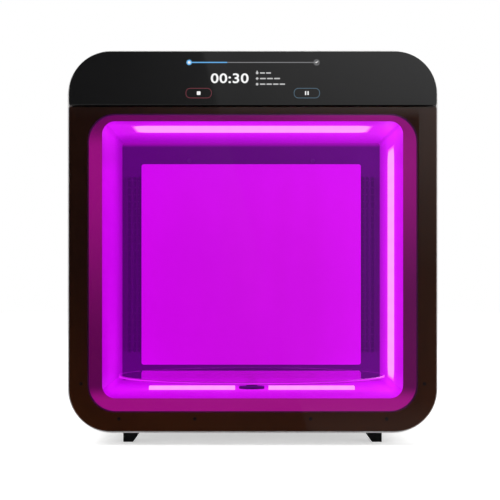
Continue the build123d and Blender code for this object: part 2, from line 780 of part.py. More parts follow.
with BuildPart() as door_magnet:
    with Locations(facing_rear(catch_x, door_rear, sensor_z)):
        Cylinder(sensor_magnet_radius, magnet_depth, align=(Align.CENTER, Align.CENTER, Align.MAX))
door_magnet.part.label = "door_magnet"
export_step(door_magnet.part, "parts/door_magnet.step")

# ================================================================ fascia and display

fascia_cut = fascia_base - front_mid
fascia_mid = (fascia_base + front_top) / 2
display_height = fascia_height - 2 * display_margin
display_front = glass_back + display_gap
display_back = display_front + display_depth
tray_floor = frame_front - tray_wall
card_back = (display_back + tray_floor) / 2

with BuildPart() as fascia_glass:
    with BuildSketch(facing_front(glass_back, front_mid)):
        RectangleRounded(front_width, front_height, corner_radius)
        with Locations((0, fascia_cut)):
            Rectangle(front_width, front_height, mode=Mode.SUBTRACT, align=(Align.CENTER, Align.MAX))
        fillet(vertices().sort_by(Axis.Y)[:2], seam_corner)
    extrude(amount=glass_thickness)
    chamfer(fascia_glass.faces().sort_by(Axis.Y)[0].outer_wire().edges(), glass_edge)
fascia_glass.part.label = "fascia_glass"
export_step(fascia_glass.part, "parts/fascia_glass.step")

display_posts = [(sx * (display_width / 2 - post_inset), sz * (display_height / 2 - post_inset))
                 for sx in (-1, 1) for sz in (-1, 1)]
card_posts = [(sx * (card_width / 2 - post_inset), sz * (card_height / 2 - post_inset))
              for sx in (-1, 1) for sz in (-1, 1)]
with BuildPart() as fascia_tray:
    with BuildSketch(facing_front(frame_front, front_mid)):
        RectangleRounded(front_width - 2 * door_inset, front_height - 2 * door_inset,
                         corner_radius - door_inset)
        with Locations((0, fascia_cut + door_inset)):
            Rectangle(front_width, front_height, mode=Mode.SUBTRACT, align=(Align.CENTER, Align.MAX))
        fillet(vertices().sort_by(Axis.Y)[:2], seam_corner)
    extrude(amount=frame_front - glass_back)
    tray_inset = door_inset + tray_wall
    with BuildSketch(facing_front(tray_floor, front_mid)):
        RectangleRounded(front_width - 2 * tray_inset, front_height - 2 * tray_inset,
                         corner_radius - tray_inset)
        with Locations((0, fascia_cut + tray_inset)):
            Rectangle(front_width, front_height, mode=Mode.SUBTRACT, align=(Align.CENTER, Align.MAX))
    extrude(amount=tray_floor - glass_back, mode=Mode.SUBTRACT)
    # Posts that carry the display and the control board.
    with BuildSketch(facing_front(tray_floor, fascia_mid)):
        with Locations(*display_posts):
            Circle(post_radius)
    extrude(amount=tray_floor - display_back)
    with BuildSketch(facing_front(tray_floor, fascia_mid)):
        with Locations(*card_posts):
            Circle(card_post_radius)
    extrude(amount=tray_floor - card_back)
fascia_tray.part.label = "fascia_tray"
export_step(fascia_tray.part, "parts/fascia_tray.step")

with BuildPart() as touch_display:
    with BuildSketch(facing_front(display_back, fascia_mid)):
        RectangleRounded(display_width, display_height, trim_radius)
    extrude(amount=display_depth)
touch_display.part.label = "touch_display"
export_step(touch_display.part, "parts/touch_display.step")

with BuildPart() as control_board:
    with BuildSketch(facing_front(card_back, fascia_mid)):
        Rectangle(card_width, card_height)
    extrude(amount=board_thickness)
    with BuildSketch(facing_front(card_back - board_thickness, fascia_mid)):
        with GridLocations(card_width / 3, card_height / 3, 2, 2):
            Rectangle(chip_size, chip_size)
    extrude(amount=board_thickness)
control_board.part.label = "control_board"
export_step(control_board.part, "parts/control_board.step")

# ================================================================ chamber liner

pan_top = chamber_floor + pan_side
top_light_width = chamber_width - 2 * top_light_side
top_light_mid = frame_back + top_light_front + top_light_length / 2
right_light_height = chamber_height - right_light_bottom - right_light_top
right_light_mid = frame_back + right_light_front + right_light_length / 2
right_light_z = chamber_floor + right_light_bottom + right_light_height / 2
floor_bar_x = floor_bar_inner + floor_bar_length / 2
floor_bar_y = frame_back + floor_bar_setback

# Planes on the inner faces of the chamber, with their normals pointing out of it.
ceiling = Plane(origin=(0, top_light_mid, chamber_top), x_dir=(1, 0, 0), z_dir=(0, 0, 1))
right_side = Plane(origin=(chamber_side, right_light_mid, right_light_z), x_dir=(0, 1, 0),
                   z_dir=(1, 0, 0))
underfloor = Plane(origin=(0, floor_bar_y, chamber_floor), x_dir=(1, 0, 0), z_dir=(0, 0, -1))

with BuildPart() as liner_upper:
    with BuildSketch(facing_front(chamber_back, chamber_mid)):
        RectangleRounded(liner_width, liner_height, liner_radius + liner_wall)
        RectangleRounded(chamber_width, chamber_height, liner_radius, mode=Mode.SUBTRACT)
        with Locations((0, pan_top - chamber_mid)):
            Rectangle(liner_width, liner_height, mode=Mode.SUBTRACT, align=(Align.CENTER, Align.MAX))
    extrude(amount=chamber_depth)
    # Flange that is screwed to the back of the front frame.
    with BuildSketch(facing_front(frame_back + liner_wall, chamber_mid)):
        RectangleRounded(chamber_width + 2 * liner_flange, chamber_height + 2 * liner_flange,
                         mouth_radius)
        RectangleRounded(chamber_width, chamber_height, liner_radius, mode=Mode.SUBTRACT)
        with Locations((0, pan_top - chamber_mid)):
            Rectangle(front_width, front_height, mode=Mode.SUBTRACT, align=(Align.CENTER, Align.MAX))
    extrude(amount=liner_wall)
    # Windows of the ceiling and right-hand light panels.
    with BuildSketch(ceiling):
        RectangleRounded(top_light_width + 2 * insert_gap, top_light_length + 2 * insert_gap,
                         light_radius)
    extrude(amount=liner_wall, mode=Mode.SUBTRACT)
    with BuildSketch(right_side):
        RectangleRounded(right_light_length + 2 * insert_gap, right_light_height + 2 * insert_gap,
                         light_radius)
    extrude(amount=liner_wall, mode=Mode.SUBTRACT)
liner_upper.part.label = "liner_upper"
export_step(liner_upper.part, "parts/liner_upper.step")

with BuildPart() as liner_floor_pan:
    with BuildSketch(facing_front(chamber_back, chamber_mid)):
        RectangleRounded(liner_width, liner_height, liner_radius + liner_wall)
        RectangleRounded(chamber_width, chamber_height, liner_radius, mode=Mode.SUBTRACT)
        with Locations((0, pan_top - pan_joint - chamber_mid)):
            Rectangle(liner_width, liner_height, mode=Mode.SUBTRACT, align=(Align.CENTER, Align.MIN))
    extrude(amount=chamber_depth)
    with BuildSketch(facing_front(frame_back + liner_wall, chamber_mid)):
        RectangleRounded(chamber_width + 2 * liner_flange, chamber_height + 2 * liner_flange,
                         mouth_radius)
        RectangleRounded(chamber_width, chamber_height, liner_radius, mode=Mode.SUBTRACT)
        with Locations((0, pan_top - pan_joint - chamber_mid)):
            Rectangle(front_width, front_height, mode=Mode.SUBTRACT, align=(Align.CENTER, Align.MIN))
    extrude(amount=liner_wall)
    with BuildSketch(underfloor):
        with Locations((-floor_bar_x, 0), (floor_bar_x, 0)):
            RectangleRounded(floor_bar_length + 2 * insert_gap, floor_bar_width + 2 * insert_gap,
                             light_radius)
    extrude(amount=liner_wall, mode=Mode.SUBTRACT)
    with BuildSketch(Plane.XY.offset(chamber_floor - liner_wall)):
        with Locations((0, turntable_y)):
            Circle(boss_radius + insert_gap)
    extrude(amount=liner_wall, mode=Mode.SUBTRACT)
liner_floor_pan.part.label = "liner_floor_pan"
export_step(liner_floor_pan.part, "parts/liner_floor_pan.step")

wall_width = liner_width + 2 * wall_overlap
wall_height = liner_height + 2 * wall_overlap
standoff_spots = [(sx * (reflector_width / 2 - standoff_inset_x),
                   sz * (reflector_height / 2 - standoff_inset_z) + reflector_mid - chamber_mid)
                  for sx in (-1, 1) for sz in (-1, 1)]
wall_screw_spots = [(side * wall_screw_spread / 2, wall_screw_z - chamber_mid) for side in (-1, 1)]
with BuildPart() as chamber_rear_wall:
    with BuildSketch(facing_front(rear_wall_back, chamber_mid)):
        RectangleRounded(wall_width, wall_height, liner_radius + wall_overlap)
        Circle(inlet_radius, mode=Mode.SUBTRACT)
        with Locations((-slot_x, slot_z - chamber_mid), (slot_x, slot_z - chamber_mid)):
            with GridLocations(slot_pitch, 0, slot_count, 1):
                SlotOverall(slot_height, slot_width, rotation=90, mode=Mode.SUBTRACT)
        with Locations(*wall_screw_spots):
            Circle(screw_radius + screw_gap, mode=Mode.SUBTRACT)
        with Locations((probe_x, reflector_base + probe_rise - chamber_mid)):
            Circle(probe_radius + insert_gap, mode=Mode.SUBTRACT)
    extrude(amount=liner_wall)
chamber_rear_wall.part.label = "chamber_rear_wall"
export_step(chamber_rear_wall.part, "parts/chamber_rear_wall.step")

# Bright panel ahead of the rear wall, with its edges folded back.
with BuildPart() as rear_reflector:
    with BuildSketch(facing_front(reflector_front + reflector_flange, reflector_mid)):
        RectangleRounded(reflector_width, reflector_height, reflector_radius)
    extrude(amount=reflector_flange)
    fillet(rear_reflector.faces().sort_by(Axis.Y)[0].outer_wire().edges(), reflector_edge)
    with BuildSketch(facing_front(reflector_front + reflector_flange, reflector_mid)):
        RectangleRounded(reflector_width - 2 * reflector_sheet, reflector_height - 2 * reflector_sheet,
                         reflector_radius - reflector_sheet)
    extrude(amount=reflector_flange - reflector_sheet, mode=Mode.SUBTRACT)
rear_reflector.part.label = "rear_reflector"
export_step(rear_reflector.part, "parts/rear_reflector.step")

with BuildPart() as reflector_standoffs:
    with BuildSketch(facing_front(chamber_back, chamber_mid)):
        with Locations(*standoff_spots):
            Circle(standoff_radius)
    extrude(amount=reflector_standoff - reflector_sheet)
reflector_standoffs.part.label = "reflector_standoffs"
export_step(reflector_standoffs.part, "parts/reflector_standoffs.step")

with BuildPart() as rear_wall_screws:
    for x, z in wall_screw_spots:
        seat = facing_front(chamber_back, z + chamber_mid, x)
        pan_head(seat, screw_radius, liner_wall + plenum_wall)
rear_wall_screws.part.label = "rear_wall_screws"
export_step(rear_wall_screws.part, "parts/rear_wall_screws.step")

with BuildPart() as chamber_probe:
    probe = facing_front(rear_wall_back, reflector_base + probe_rise, probe_x)
    with Locations(probe):
        Cylinder(probe_radius, probe_length, align=(Align.CENTER, Align.CENTER, Align.MIN))
        Cylinder(probe_collar_radius, probe_collar, align=(Align.CENTER, Align.CENTER, Align.MAX))
    fillet(chamber_probe.faces().sort_by(Axis.Y)[0].edges(), probe_tip)
chamber_probe.part.label = "chamber_probe"
export_step(chamber_probe.part, "parts/chamber_probe.step")

# ================================================================ light panels

sink_lift = liner_wall + skirt_height
light_panels = {
    "top": (ceiling, [(0, 0)], top_light_width, top_light_length, 0.0, fin_height),
    "right": (right_side, [(0, 0)], right_light_length, right_light_height, 0.0, fin_height),
    "floor": (underfloor, [(-floor_bar_x, 0), (floor_bar_x, 0)], floor_bar_length, floor_bar_width,
              floor_bar_rise, low_fin_height),
}
for place, (face, spots, width, length, rise, fins) in light_panels.items():
    skirt_width = width + 2 * (diffuser_flange + skirt_gap)
    skirt_length = length + 2 * (diffuser_flange + skirt_gap)
    # Opal cover: it fills the window and rests on the outside of the liner.
    with BuildPart() as diffuser:
        with BuildSketch(face.offset(-rise)):
            with Locations(*spots):
                RectangleRounded(width, length, light_radius)
        extrude(amount=rise + liner_wall)
        with BuildSketch(face.offset(liner_wall)):
            with Locations(*spots):
                RectangleRounded(width + 2 * diffuser_flange, length + 2 * diffuser_flange,
                                 light_radius)
        extrude(amount=diffuser_sheet)
    diffuser.part.label = f"light_cover_{place}"
    export_step(diffuser.part, f"parts/light_cover_{place}.step")

    # Finned heatsink whose skirt stands on the liner round the cover.
    with BuildPart() as heatsink:
        with BuildSketch(face.offset(liner_wall)):
            with Locations(*spots):
                RectangleRounded(skirt_width + 2 * skirt_wall, skirt_length + 2 * skirt_wall,
                                 light_radius)
                RectangleRounded(skirt_width, skirt_length, light_radius, mode=Mode.SUBTRACT)
        extrude(amount=skirt_height)
        with BuildSketch(face.offset(sink_lift)):
            with Locations(*spots):
                RectangleRounded(skirt_width + 2 * skirt_wall, skirt_length + 2 * skirt_wall,
                                 light_radius)
        extrude(amount=sink_base)
        fin_span = skirt_width + 2 * skirt_wall - 2 * fin_pitch
        fin_total = int(fin_span / fin_pitch) + 1
        with BuildSketch(face.offset(sink_lift + sink_base)):
            with Locations(*spots):
                with GridLocations(fin_pitch, 0, fin_total, 1):
                    Rectangle(fin_thickness, skirt_length + 2 * skirt_wall)
        extrude(amount=fins)
    heatsink.part.label = f"heatsink_{place}"
    export_step(heatsink.part, f"parts/heatsink_{place}.step")

# Boards against the inside of the heatsinks.
with BuildPart() as led_boards:
    for face, spots, width, length, rise, fins in light_panels.values():
        board_margin = diffuser_flange + skirt_gap - insert_gap
        with BuildSketch(face.offset(sink_lift - board_thickness)):
            with Locations(*spots):
                RectangleRounded(width + 2 * board_margin, length + 2 * board_margin, light_radius)
        extrude(amount=board_thickness)
led_boards.part.label = "led_boards"
export_step(led_boards.part, "parts/led_boards.step")

# Emitters in even rows on the boards.
with BuildPart() as led_emitters:
    for face, spots, width, length, rise, fins in light_panels.values():
        columns = int((width - emitter_pitch) / emitter_pitch) + 1
        rows = max(1, int((length - emitter_pitch) / emitter_pitch) + 1)
        with BuildSketch(face.offset(sink_lift - board_thickness - emitter_height)):
            with Locations(*spots):
                with GridLocations(emitter_pitch, emitter_pitch, columns, rows):
                    Rectangle(emitter_size, emitter_size)
        extrude(amount=emitter_height)
led_emitters.part.label = "led_emitters"
export_step(led_emitters.part, "parts/led_emitters.step")

# ================================================================ turntable

with BuildPart() as turntable_glass_plate:
    with BuildSketch(Plane.XY.offset(glass_under)):
        with Locations((0, turntable_y)):
            Circle(turntable_radius)
    extrude(amount=turntable_glass)
    fillet(turntable_glass_plate.edges().filter_by(GeomType.CIRCLE), turntable_edge)
turntable_glass_plate.part.label = "turntable_glass"
export_step(turntable_glass_plate.part, "parts/turntable_glass.step")

bearing_top = chamber_floor + bearing_flange + boss_height
with BuildPart() as turntable_hub:
    with Locations((0, turntable_y, glass_under)):
        Cylinder(hub_radius, hub_thickness, align=(Align.CENTER, Align.CENTER, Align.MAX))
    with Locations((0, turntable_y, glass_under - hub_thickness)):
        Cylinder(column_radius, glass_under - hub_thickness - bearing_top - running_gap,
                 align=(Align.CENTER, Align.CENTER, Align.MAX))
        Cylinder(spindle_radius, glass_under - hub_thickness - chamber_floor + spindle_length,
                 align=(Align.CENTER, Align.CENTER, Align.MAX))
    fillet(turntable_hub.faces().filter_by(Axis.Z).sort_by(Axis.Z)[-1].edges(), hub_edge)
turntable_hub.part.label = "turntable_hub"
export_step(turntable_hub.part, "parts/turntable_hub.step")

with BuildPart() as turntable_bearing:
    with Locations((0, turntable_y, chamber_floor)):
        Cylinder(bearing_radius, bearing_flange, align=(Align.CENTER, Align.CENTER, Align.MIN))
        Cylinder(boss_radius, bearing_flange + boss_height,
                 align=(Align.CENTER, Align.CENTER, Align.MIN))
        Cylinder(boss_radius, liner_wall, align=(Align.CENTER, Align.CENTER, Align.MAX))
    rims = turntable_bearing.edges().filter_by(GeomType.CIRCLE).group_by(Axis.Z)
    fillet(rims[-2], hub_edge)
    with Locations((0, turntable_y, chamber_floor - liner_wall)):
        Cylinder(spindle_radius + running_gap, liner_wall + bearing_flange + boss_height,
                 align=(Align.CENTER, Align.CENTER, Align.MIN), mode=Mode.SUBTRACT)
turntable_bearing.part.label = "turntable_bearing"
export_step(turntable_bearing.part, "parts/turntable_bearing.step")

gearmotor_top = chamber_floor - liner_wall
with BuildPart() as turntable_gearmotor:
    with BuildSketch(Plane.XY.offset(gearmotor_top - gearmotor_plate)):
        with Locations((0, turntable_y)):
            RectangleRounded(gearmotor_plate_width, gearmotor_plate_length, trim_radius)
    extrude(amount=gearmotor_plate)
    with Locations((0, turntable_y, gearmotor_top - gearmotor_plate)):
        Cylinder(gearmotor_radius, gearmotor_length, align=(Align.CENTER, Align.CENTER, Align.MAX))
    with Locations((0, turntable_y, gearmotor_top)):
        Cylinder(spindle_radius + running_gap, spindle_length + running_gap,
                 align=(Align.CENTER, Align.CENTER, Align.MAX), mode=Mode.SUBTRACT)
turntable_gearmotor.part.label = "turntable_gearmotor"
export_step(turntable_gearmotor.part, "parts/turntable_gearmotor.step")

# ================================================================ warm air system

with BuildPart() as plenum_duct:
    with BuildSketch(facing_front(plenum_back, plenum_mid)):
        Rectangle(plenum_width, plenum_height)
    extrude(amount=plenum_depth)
    with BuildSketch(facing_front(plenum_back - plenum_wall, plenum_mid)):
        Rectangle(plenum_width - 2 * plenum_wall, plenum_height - 2 * plenum_wall)
    extrude(amount=plenum_depth - plenum_wall, mode=Mode.SUBTRACT)
    # Front flange that the rear wall's screws hold.
    with BuildSketch(facing_front(rear_wall_back + plenum_wall, plenum_mid)):
        Rectangle(plenum_width, plenum_height)
        Rectangle(plenum_width - 2 * plenum_side, plenum_height - 2 * plenum_side, mode=Mode.SUBTRACT)
        with Locations((0, wall_screw_z - plenum_mid)):
            with GridLocations(wall_screw_spread, 0, 2, 1):
                Rectangle(screw_tab, screw_tab)
    extrude(amount=plenum_wall)
    with BuildSketch(facing_front(plenum_back, chamber_mid)):
        Circle(fan_shaft_radius + fan_shaft_clearance)
    extrude(amount=plenum_wall, mode=Mode.SUBTRACT)
    with BuildSketch(facing_front(rear_wall_back + plenum_wall, chamber_mid)):
        with Locations(*wall_screw_spots):
            Circle(screw_radius + thread_gap)
    extrude(amount=plenum_wall, mode=Mode.SUBTRACT)
plenum_duct.part.label = "plenum_duct"
export_step(plenum_duct.part, "parts/plenum_duct.step")

with BuildPart() as circulation_impeller:
    with BuildSketch(facing_front(fan_back, chamber_mid)):
        Circle(impeller_radius)
    extrude(amount=impeller_plate)
    with BuildSketch(facing_front(fan_back, chamber_mid)):
        Circle(fan_hub_radius)
    extrude(amount=impeller_width - impeller_plate)
    # Backward-curved blades between the back plate and the front ring.
    blade_root = (fan_hub_radius + impeller_eye) / 2
    with BuildSketch(facing_front(fan_back, chamber_mid)):
        with BuildLine():
            for blade in range(blade_count):
                angle = 360 * blade / blade_count
                ends = []
                for reach, sweep in ((blade_root, 0),
                                     ((blade_root + impeller_radius) / 2, blade_sweep_middle),
                                     (impeller_radius - blade_thickness, blade_sweep_tip)):
                    turn = radians(angle + sweep)
                    ends.append((reach * cos(turn), reach * sin(turn)))
                ThreePointArc(*ends)
        trace(line_width=blade_thickness)
    extrude(amount=impeller_width)
    with BuildSketch(facing_front(fan_back - impeller_width + impeller_plate, chamber_mid)):
        Circle(impeller_radius)
        Circle(impeller_eye, mode=Mode.SUBTRACT)
    extrude(amount=impeller_plate)
    with BuildSketch(facing_front(fan_back, chamber_mid)):
        Circle(fan_shaft_radius)
    extrude(amount=-(plenum_back - fan_back + fan_shaft_length))
circulation_impeller.part.label = "circulation_impeller"
export_step(circulation_impeller.part, "parts/circulation_impeller.step")

with BuildPart() as circulation_motor:
    with BuildSketch(facing_front(plenum_back, chamber_mid)):
        Circle(fan_motor_radius)
    extrude(amount=-fan_motor_length)
    fillet(circulation_motor.faces().sort_by(Axis.Y)[-1].edges(), fan_motor_edge)
    with BuildSketch(facing_front(plenum_back, chamber_mid)):
        Circle(fan_shaft_radius + running_gap)
    extrude(amount=-(fan_shaft_length + running_gap), mode=Mode.SUBTRACT)
circulation_motor.part.label = "circulation_motor"
export_step(circulation_motor.part, "parts/circulation_motor.step")

heater_front = rear_wall_back + fan_front_gap
heater_x = plenum_width / 2 - plenum_wall - insert_gap - heater_width / 2
with BuildPart() as duct_heaters:
    for side in (-1, 1):
        with BuildSketch(facing_front(plenum_back - plenum_wall, slot_z)):
            with Locations((side * heater_x, 0)):
                Rectangle(heater_tube, slot_height)
        extrude(amount=plenum_back - plenum_wall - heater_front)
        fin_rows = int(slot_height / heater_fin_pitch)
        with BuildSketch(facing_front(heater_front + heater_depth, slot_z)):
            with Locations((side * heater_x, 0)):
                with GridLocations(0, heater_fin_pitch, 1, fin_rows):
                    Rectangle(heater_width, heater_fin)
        extrude(amount=heater_depth)
duct_heaters.part.label = "duct_heaters"
export_step(duct_heaters.part, "parts/duct_heaters.step")

# Insulation on the left of the liner and behind the ceiling light.
left_pad_width = chamber_depth - 2 * liner_flange
top_sink_margin = diffuser_flange + skirt_gap + skirt_wall
top_pad_front = top_light_mid + top_light_length / 2 + top_sink_margin + soft_gap
with BuildPart() as insulation_pads:
    with Locations((-liner_width / 2 - soft_gap, frame_back + chamber_depth / 2, chamber_mid)):
        Box(insulation_thickness, left_pad_width, chamber_height - 2 * liner_flange,
            align=(Align.MAX, Align.CENTER, Align.CENTER))
    with Locations((0, top_pad_front + soft_gap, chamber_top + liner_wall + soft_gap)):
        Box(chamber_width - 2 * liner_flange, chamber_back - top_pad_front - liner_flange,
            insulation_thickness,
            align=(Align.CENTER, Align.MIN, Align.MIN))
insulation_pads.part.label = "insulation_pads"
export_step(insulation_pads.part, "parts/insulation_pads.step")

# ================================================================ supports and electronics

support_height = chamber_floor - liner_wall - base_top
with BuildPart() as liner_supports:
    with BuildSketch(Plane.XY.offset(base_top)):
        with Locations((0, base_mid_y)):
            with GridLocations(support_spread_x, support_spread_y, 2, 2):
                Rectangle(support_size, support_size)
                Rectangle(support_size - 2 * base_sheet, support_size - 2 * base_sheet,
                          mode=Mode.SUBTRACT)
    extrude(amount=support_height)
liner_supports.part.label = "liner_supports"
export_step(liner_supports.part, "parts/liner_supports.step")

with BuildPart() as power_supply:
    with Locations((supply_x, supply_y, base_top)):
        Box(supply_width, supply_length, supply_height, align=(Align.CENTER, Align.CENTER, Align.MIN))
    fillet(power_supply.edges().filter_by(Axis.Z), trim_radius)
    with BuildSketch(Plane.XY.offset(base_top + supply_height)):
        with Locations((supply_x, supply_y)):
            with GridLocations(0, vent_pitch, 1, vent_rows):
                SlotOverall(vent_length, vent_width)
    extrude(amount=-base_sheet, mode=Mode.SUBTRACT)
power_supply.part.label = "power_supply"
export_step(power_supply.part, "parts/power_supply.step")

with BuildPart() as led_driver_board:
    with BuildSketch(Plane.XY.offset(base_top)):
        with Locations((driver_x, driver_y)):
            with GridLocations(driver_width - 2 * post_inset, driver_length - 2 * post_inset, 2, 2):
                Circle(card_post_radius)
    extrude(amount=driver_post)
    with BuildSketch(Plane.XY.offset(base_top + driver_post)):
        with Locations((driver_x, driver_y)):
            Rectangle(driver_width, driver_length)
    extrude(amount=board_thickness)
    with BuildSketch(Plane.XY.offset(base_top + driver_post + board_thickness)):
        with Locations((driver_x, driver_y)):
            with GridLocations(driver_width / 3, driver_length / 4, 2, 3):
                Rectangle(driver_block, driver_block)
    extrude(amount=driver_block_height)
led_driver_board.part.label = "led_driver_board"
export_step(led_driver_board.part, "parts/led_driver_board.step")

# ================================================================ rear panel

inlet_hole_width = socket_width + 2 * (socket_wall + insert_gap)
inlet_hole_height = socket_height + 2 * (socket_wall + insert_gap)
switch_cavity_width = rocker_width + 2 * rocker_gap
switch_cavity_height = rocker_height + 2 * rocker_gap
switch_hole_width = switch_cavity_width + 2 * (socket_wall + insert_gap)
switch_hole_height = switch_cavity_height + 2 * (socket_wall + insert_gap)
with BuildPart() as rear_panel:
    with BuildSketch(facing_front(panel_back, front_mid)):
        RectangleRounded(inner_width - 2 * panel_gap, inner_height - 2 * panel_gap,
                         inner_radius - panel_gap)
        with Locations((0, fan_z - front_mid)):
            with GridLocations(fan_spread, 0, 2, 1):
                Circle(fan_bore, mode=Mode.SUBTRACT)
                with GridLocations(fan_screw_pitch, fan_screw_pitch, 2, 2):
                    Circle(screw_radius + screw_gap, mode=Mode.SUBTRACT)
        with Locations((0, vent_z - front_mid)):
            with GridLocations(vent_spread, vent_pitch, 2, vent_rows):
                SlotOverall(vent_length, vent_width, mode=Mode.SUBTRACT)
        with Locations((inlet_x, inlet_z - front_mid)):
            Rectangle(inlet_hole_width, inlet_hole_height, mode=Mode.SUBTRACT)
        with Locations((switch_x, inlet_z - front_mid)):
            Rectangle(switch_hole_width, switch_hole_height, mode=Mode.SUBTRACT)
        with Locations(*panel_screw_spots):
            Circle(screw_radius + screw_gap, mode=Mode.SUBTRACT)
    extrude(amount=panel_sheet)
rear_panel.part.label = "rear_panel"
export_step(rear_panel.part, "parts/rear_panel.step")

# ---------------------------------------------------------------- exhaust fans

disc_face = panel_front - fan_depth + web_thickness
rotor_front = disc_face + rotor_gap
with BuildPart() as exhaust_fan_frames:
    for x in fan_centres.values():
        with BuildSketch(facing_front(panel_front, fan_z)):
            with Locations((x, 0)):
                RectangleRounded(fan_size, fan_size, ear_radius)
                Circle(fan_bore, mode=Mode.SUBTRACT)
                with GridLocations(fan_screw_pitch, fan_screw_pitch, 2, 2):
                    Circle(screw_radius + thread_gap, mode=Mode.SUBTRACT)
        extrude(amount=fan_depth)
        # Motor disc on four webs at the inner face, with the spindle of the rotor.
        with BuildSketch(facing_front(disc_face, fan_z)):
            with Locations((x, 0)):
                Circle(rotor_hub)
                with PolarLocations((rotor_hub + fan_bore) / 2, 4, start_angle=45):
                    Rectangle(fan_bore - rotor_hub + web_thickness, fan_web)
        extrude(amount=web_thickness)
        with BuildSketch(facing_front(disc_face, fan_z)):
            with Locations((x, 0)):
                Circle(rotor_spindle)
        extrude(amount=-(rotor_depth - rotor_gap))
exhaust_fan_frames.part.label = "exhaust_fan_frames"
export_step(exhaust_fan_frames.part, "parts/exhaust_fan_frames.step")

blade_reach = fan_bore - fan_gap
for place, x in fan_centres.items():
    rotor_plane = facing_front(rotor_front + rotor_depth / 2, fan_z, x)
    with BuildPart() as exhaust_rotor:
        with Locations(rotor_plane):
            with PolarLocations((rotor_hub + blade_reach) / 2, rotor_blades):
                Box(blade_reach - rotor_hub + fan_web, rotor_chord, rotor_blade,
                    rotation=(rotor_blade_tilt, 0, 0))
            Cylinder(blade_reach, rotor_depth, mode=Mode.INTERSECT)
            Cylinder(rotor_hub, rotor_depth)
        with BuildSketch(facing_front(rotor_front, fan_z)):
            with Locations((x, 0)):
                Circle(rotor_spindle + running_gap)
        extrude(amount=-(rotor_depth - rotor_gap), mode=Mode.SUBTRACT)
    exhaust_rotor.part.label = f"exhaust_rotor_{place}"
    export_step(exhaust_rotor.part, f"parts/exhaust_rotor_{place}.step")

# Finger guards: rings on two crossed bars that end in screw ears.
bar_length = fan_screw_pitch * 2 ** 0.5
with BuildPart() as fan_guards:
    for x in fan_centres.values():
        guard_plane = facing_front(panel_back + guard_wire, fan_z, x)
        for ring in range(1, guard_rings + 1):
            ring_radius = fan_bore * ring / guard_rings
            with BuildSketch(guard_plane):
                Circle(ring_radius)
                Circle(ring_radius - guard_wire, mode=Mode.SUBTRACT)
            extrude(amount=guard_wire)
        with BuildSketch(guard_plane):
            for turn in (45, 135):
                Rectangle(bar_length, guard_wire, rotation=turn)
            with GridLocations(fan_screw_pitch, fan_screw_pitch, 2, 2):
                Circle(ear_radius)
        extrude(amount=guard_wire)
        with BuildSketch(guard_plane):
            with GridLocations(fan_screw_pitch, fan_screw_pitch, 2, 2):
                Circle(screw_radius + screw_gap)
        extrude(amount=guard_wire, mode=Mode.SUBTRACT)
fan_guards.part.label = "fan_guards"
export_step(fan_guards.part, "parts/fan_guards.step")

# Pan screws round the rear panel and through the ears of the guards.
with BuildPart() as rear_screws:
    for x, z in panel_screw_spots:
        seat = facing_rear(x, panel_back, z + front_mid)
        pan_head(seat, screw_radius, panel_sheet + lip_sheet)
    for centre_x in fan_centres.values():
        for sx in (-1, 1):
            for sz in (-1, 1):
                seat = facing_rear(centre_x + sx * fan_screw_pitch / 2, panel_back + guard_wire,
                                   fan_z + sz * fan_screw_pitch / 2)
                pan_head(seat, screw_radius, guard_wire + panel_sheet + fan_screw_bite)
rear_screws.part.label = "rear_screws"
export_step(rear_screws.part, "parts/rear_screws.step")

# ---------------------------------------------------------------- mains inlet

inlet_face = panel_back + inlet_flange
socket_floor = inlet_face - socket_depth
with BuildPart() as mains_inlet:
    with BuildSketch(facing_front(inlet_face, inlet_z)):
        with Locations((inlet_x, 0)):
            RectangleRounded(inlet_width, inlet_height, trim_radius)
    extrude(amount=inlet_flange)
    with BuildSketch(facing_front(panel_back, inlet_z)):
        with Locations((inlet_x, 0)):
            Rectangle(socket_width + 2 * socket_wall, socket_height + 2 * socket_wall)
    extrude(amount=panel_back - socket_floor + socket_wall)
    with BuildSketch(facing_front(inlet_face, inlet_z)):
        with Locations((inlet_x, 0)):
            Rectangle(socket_width, socket_height)
        chamfer(vertices().group_by(Axis.Y)[-1], socket_chamfer)
    extrude(amount=socket_depth, mode=Mode.SUBTRACT)
    # Snap catches on both sides grip the rear panel from within.
    with BuildSketch(facing_front(panel_front - running_gap, inlet_z)):
        with Locations((inlet_x, 0)):
            with GridLocations(inlet_hole_width + snap_grip, 0, 2, 1):
                Rectangle(snap_grip + 2 * insert_gap, snap_height)
    extrude(amount=snap_grip)
mains_inlet.part.label = "mains_inlet"
export_step(mains_inlet.part, "parts/mains_inlet.step")

with BuildPart() as inlet_contacts:
    with BuildSketch(facing_front(socket_floor, inlet_z)):
        with Locations((inlet_x, socket_offset), (inlet_x - contact_pitch, -socket_offset),
                       (inlet_x + contact_pitch, -socket_offset)):
            Rectangle(contact_thickness, contact_width)
    extrude(amount=-contact_length)
inlet_contacts.part.label = "inlet_contacts"
export_step(inlet_contacts.part, "parts/inlet_contacts.step")

# ---------------------------------------------------------------- power switch

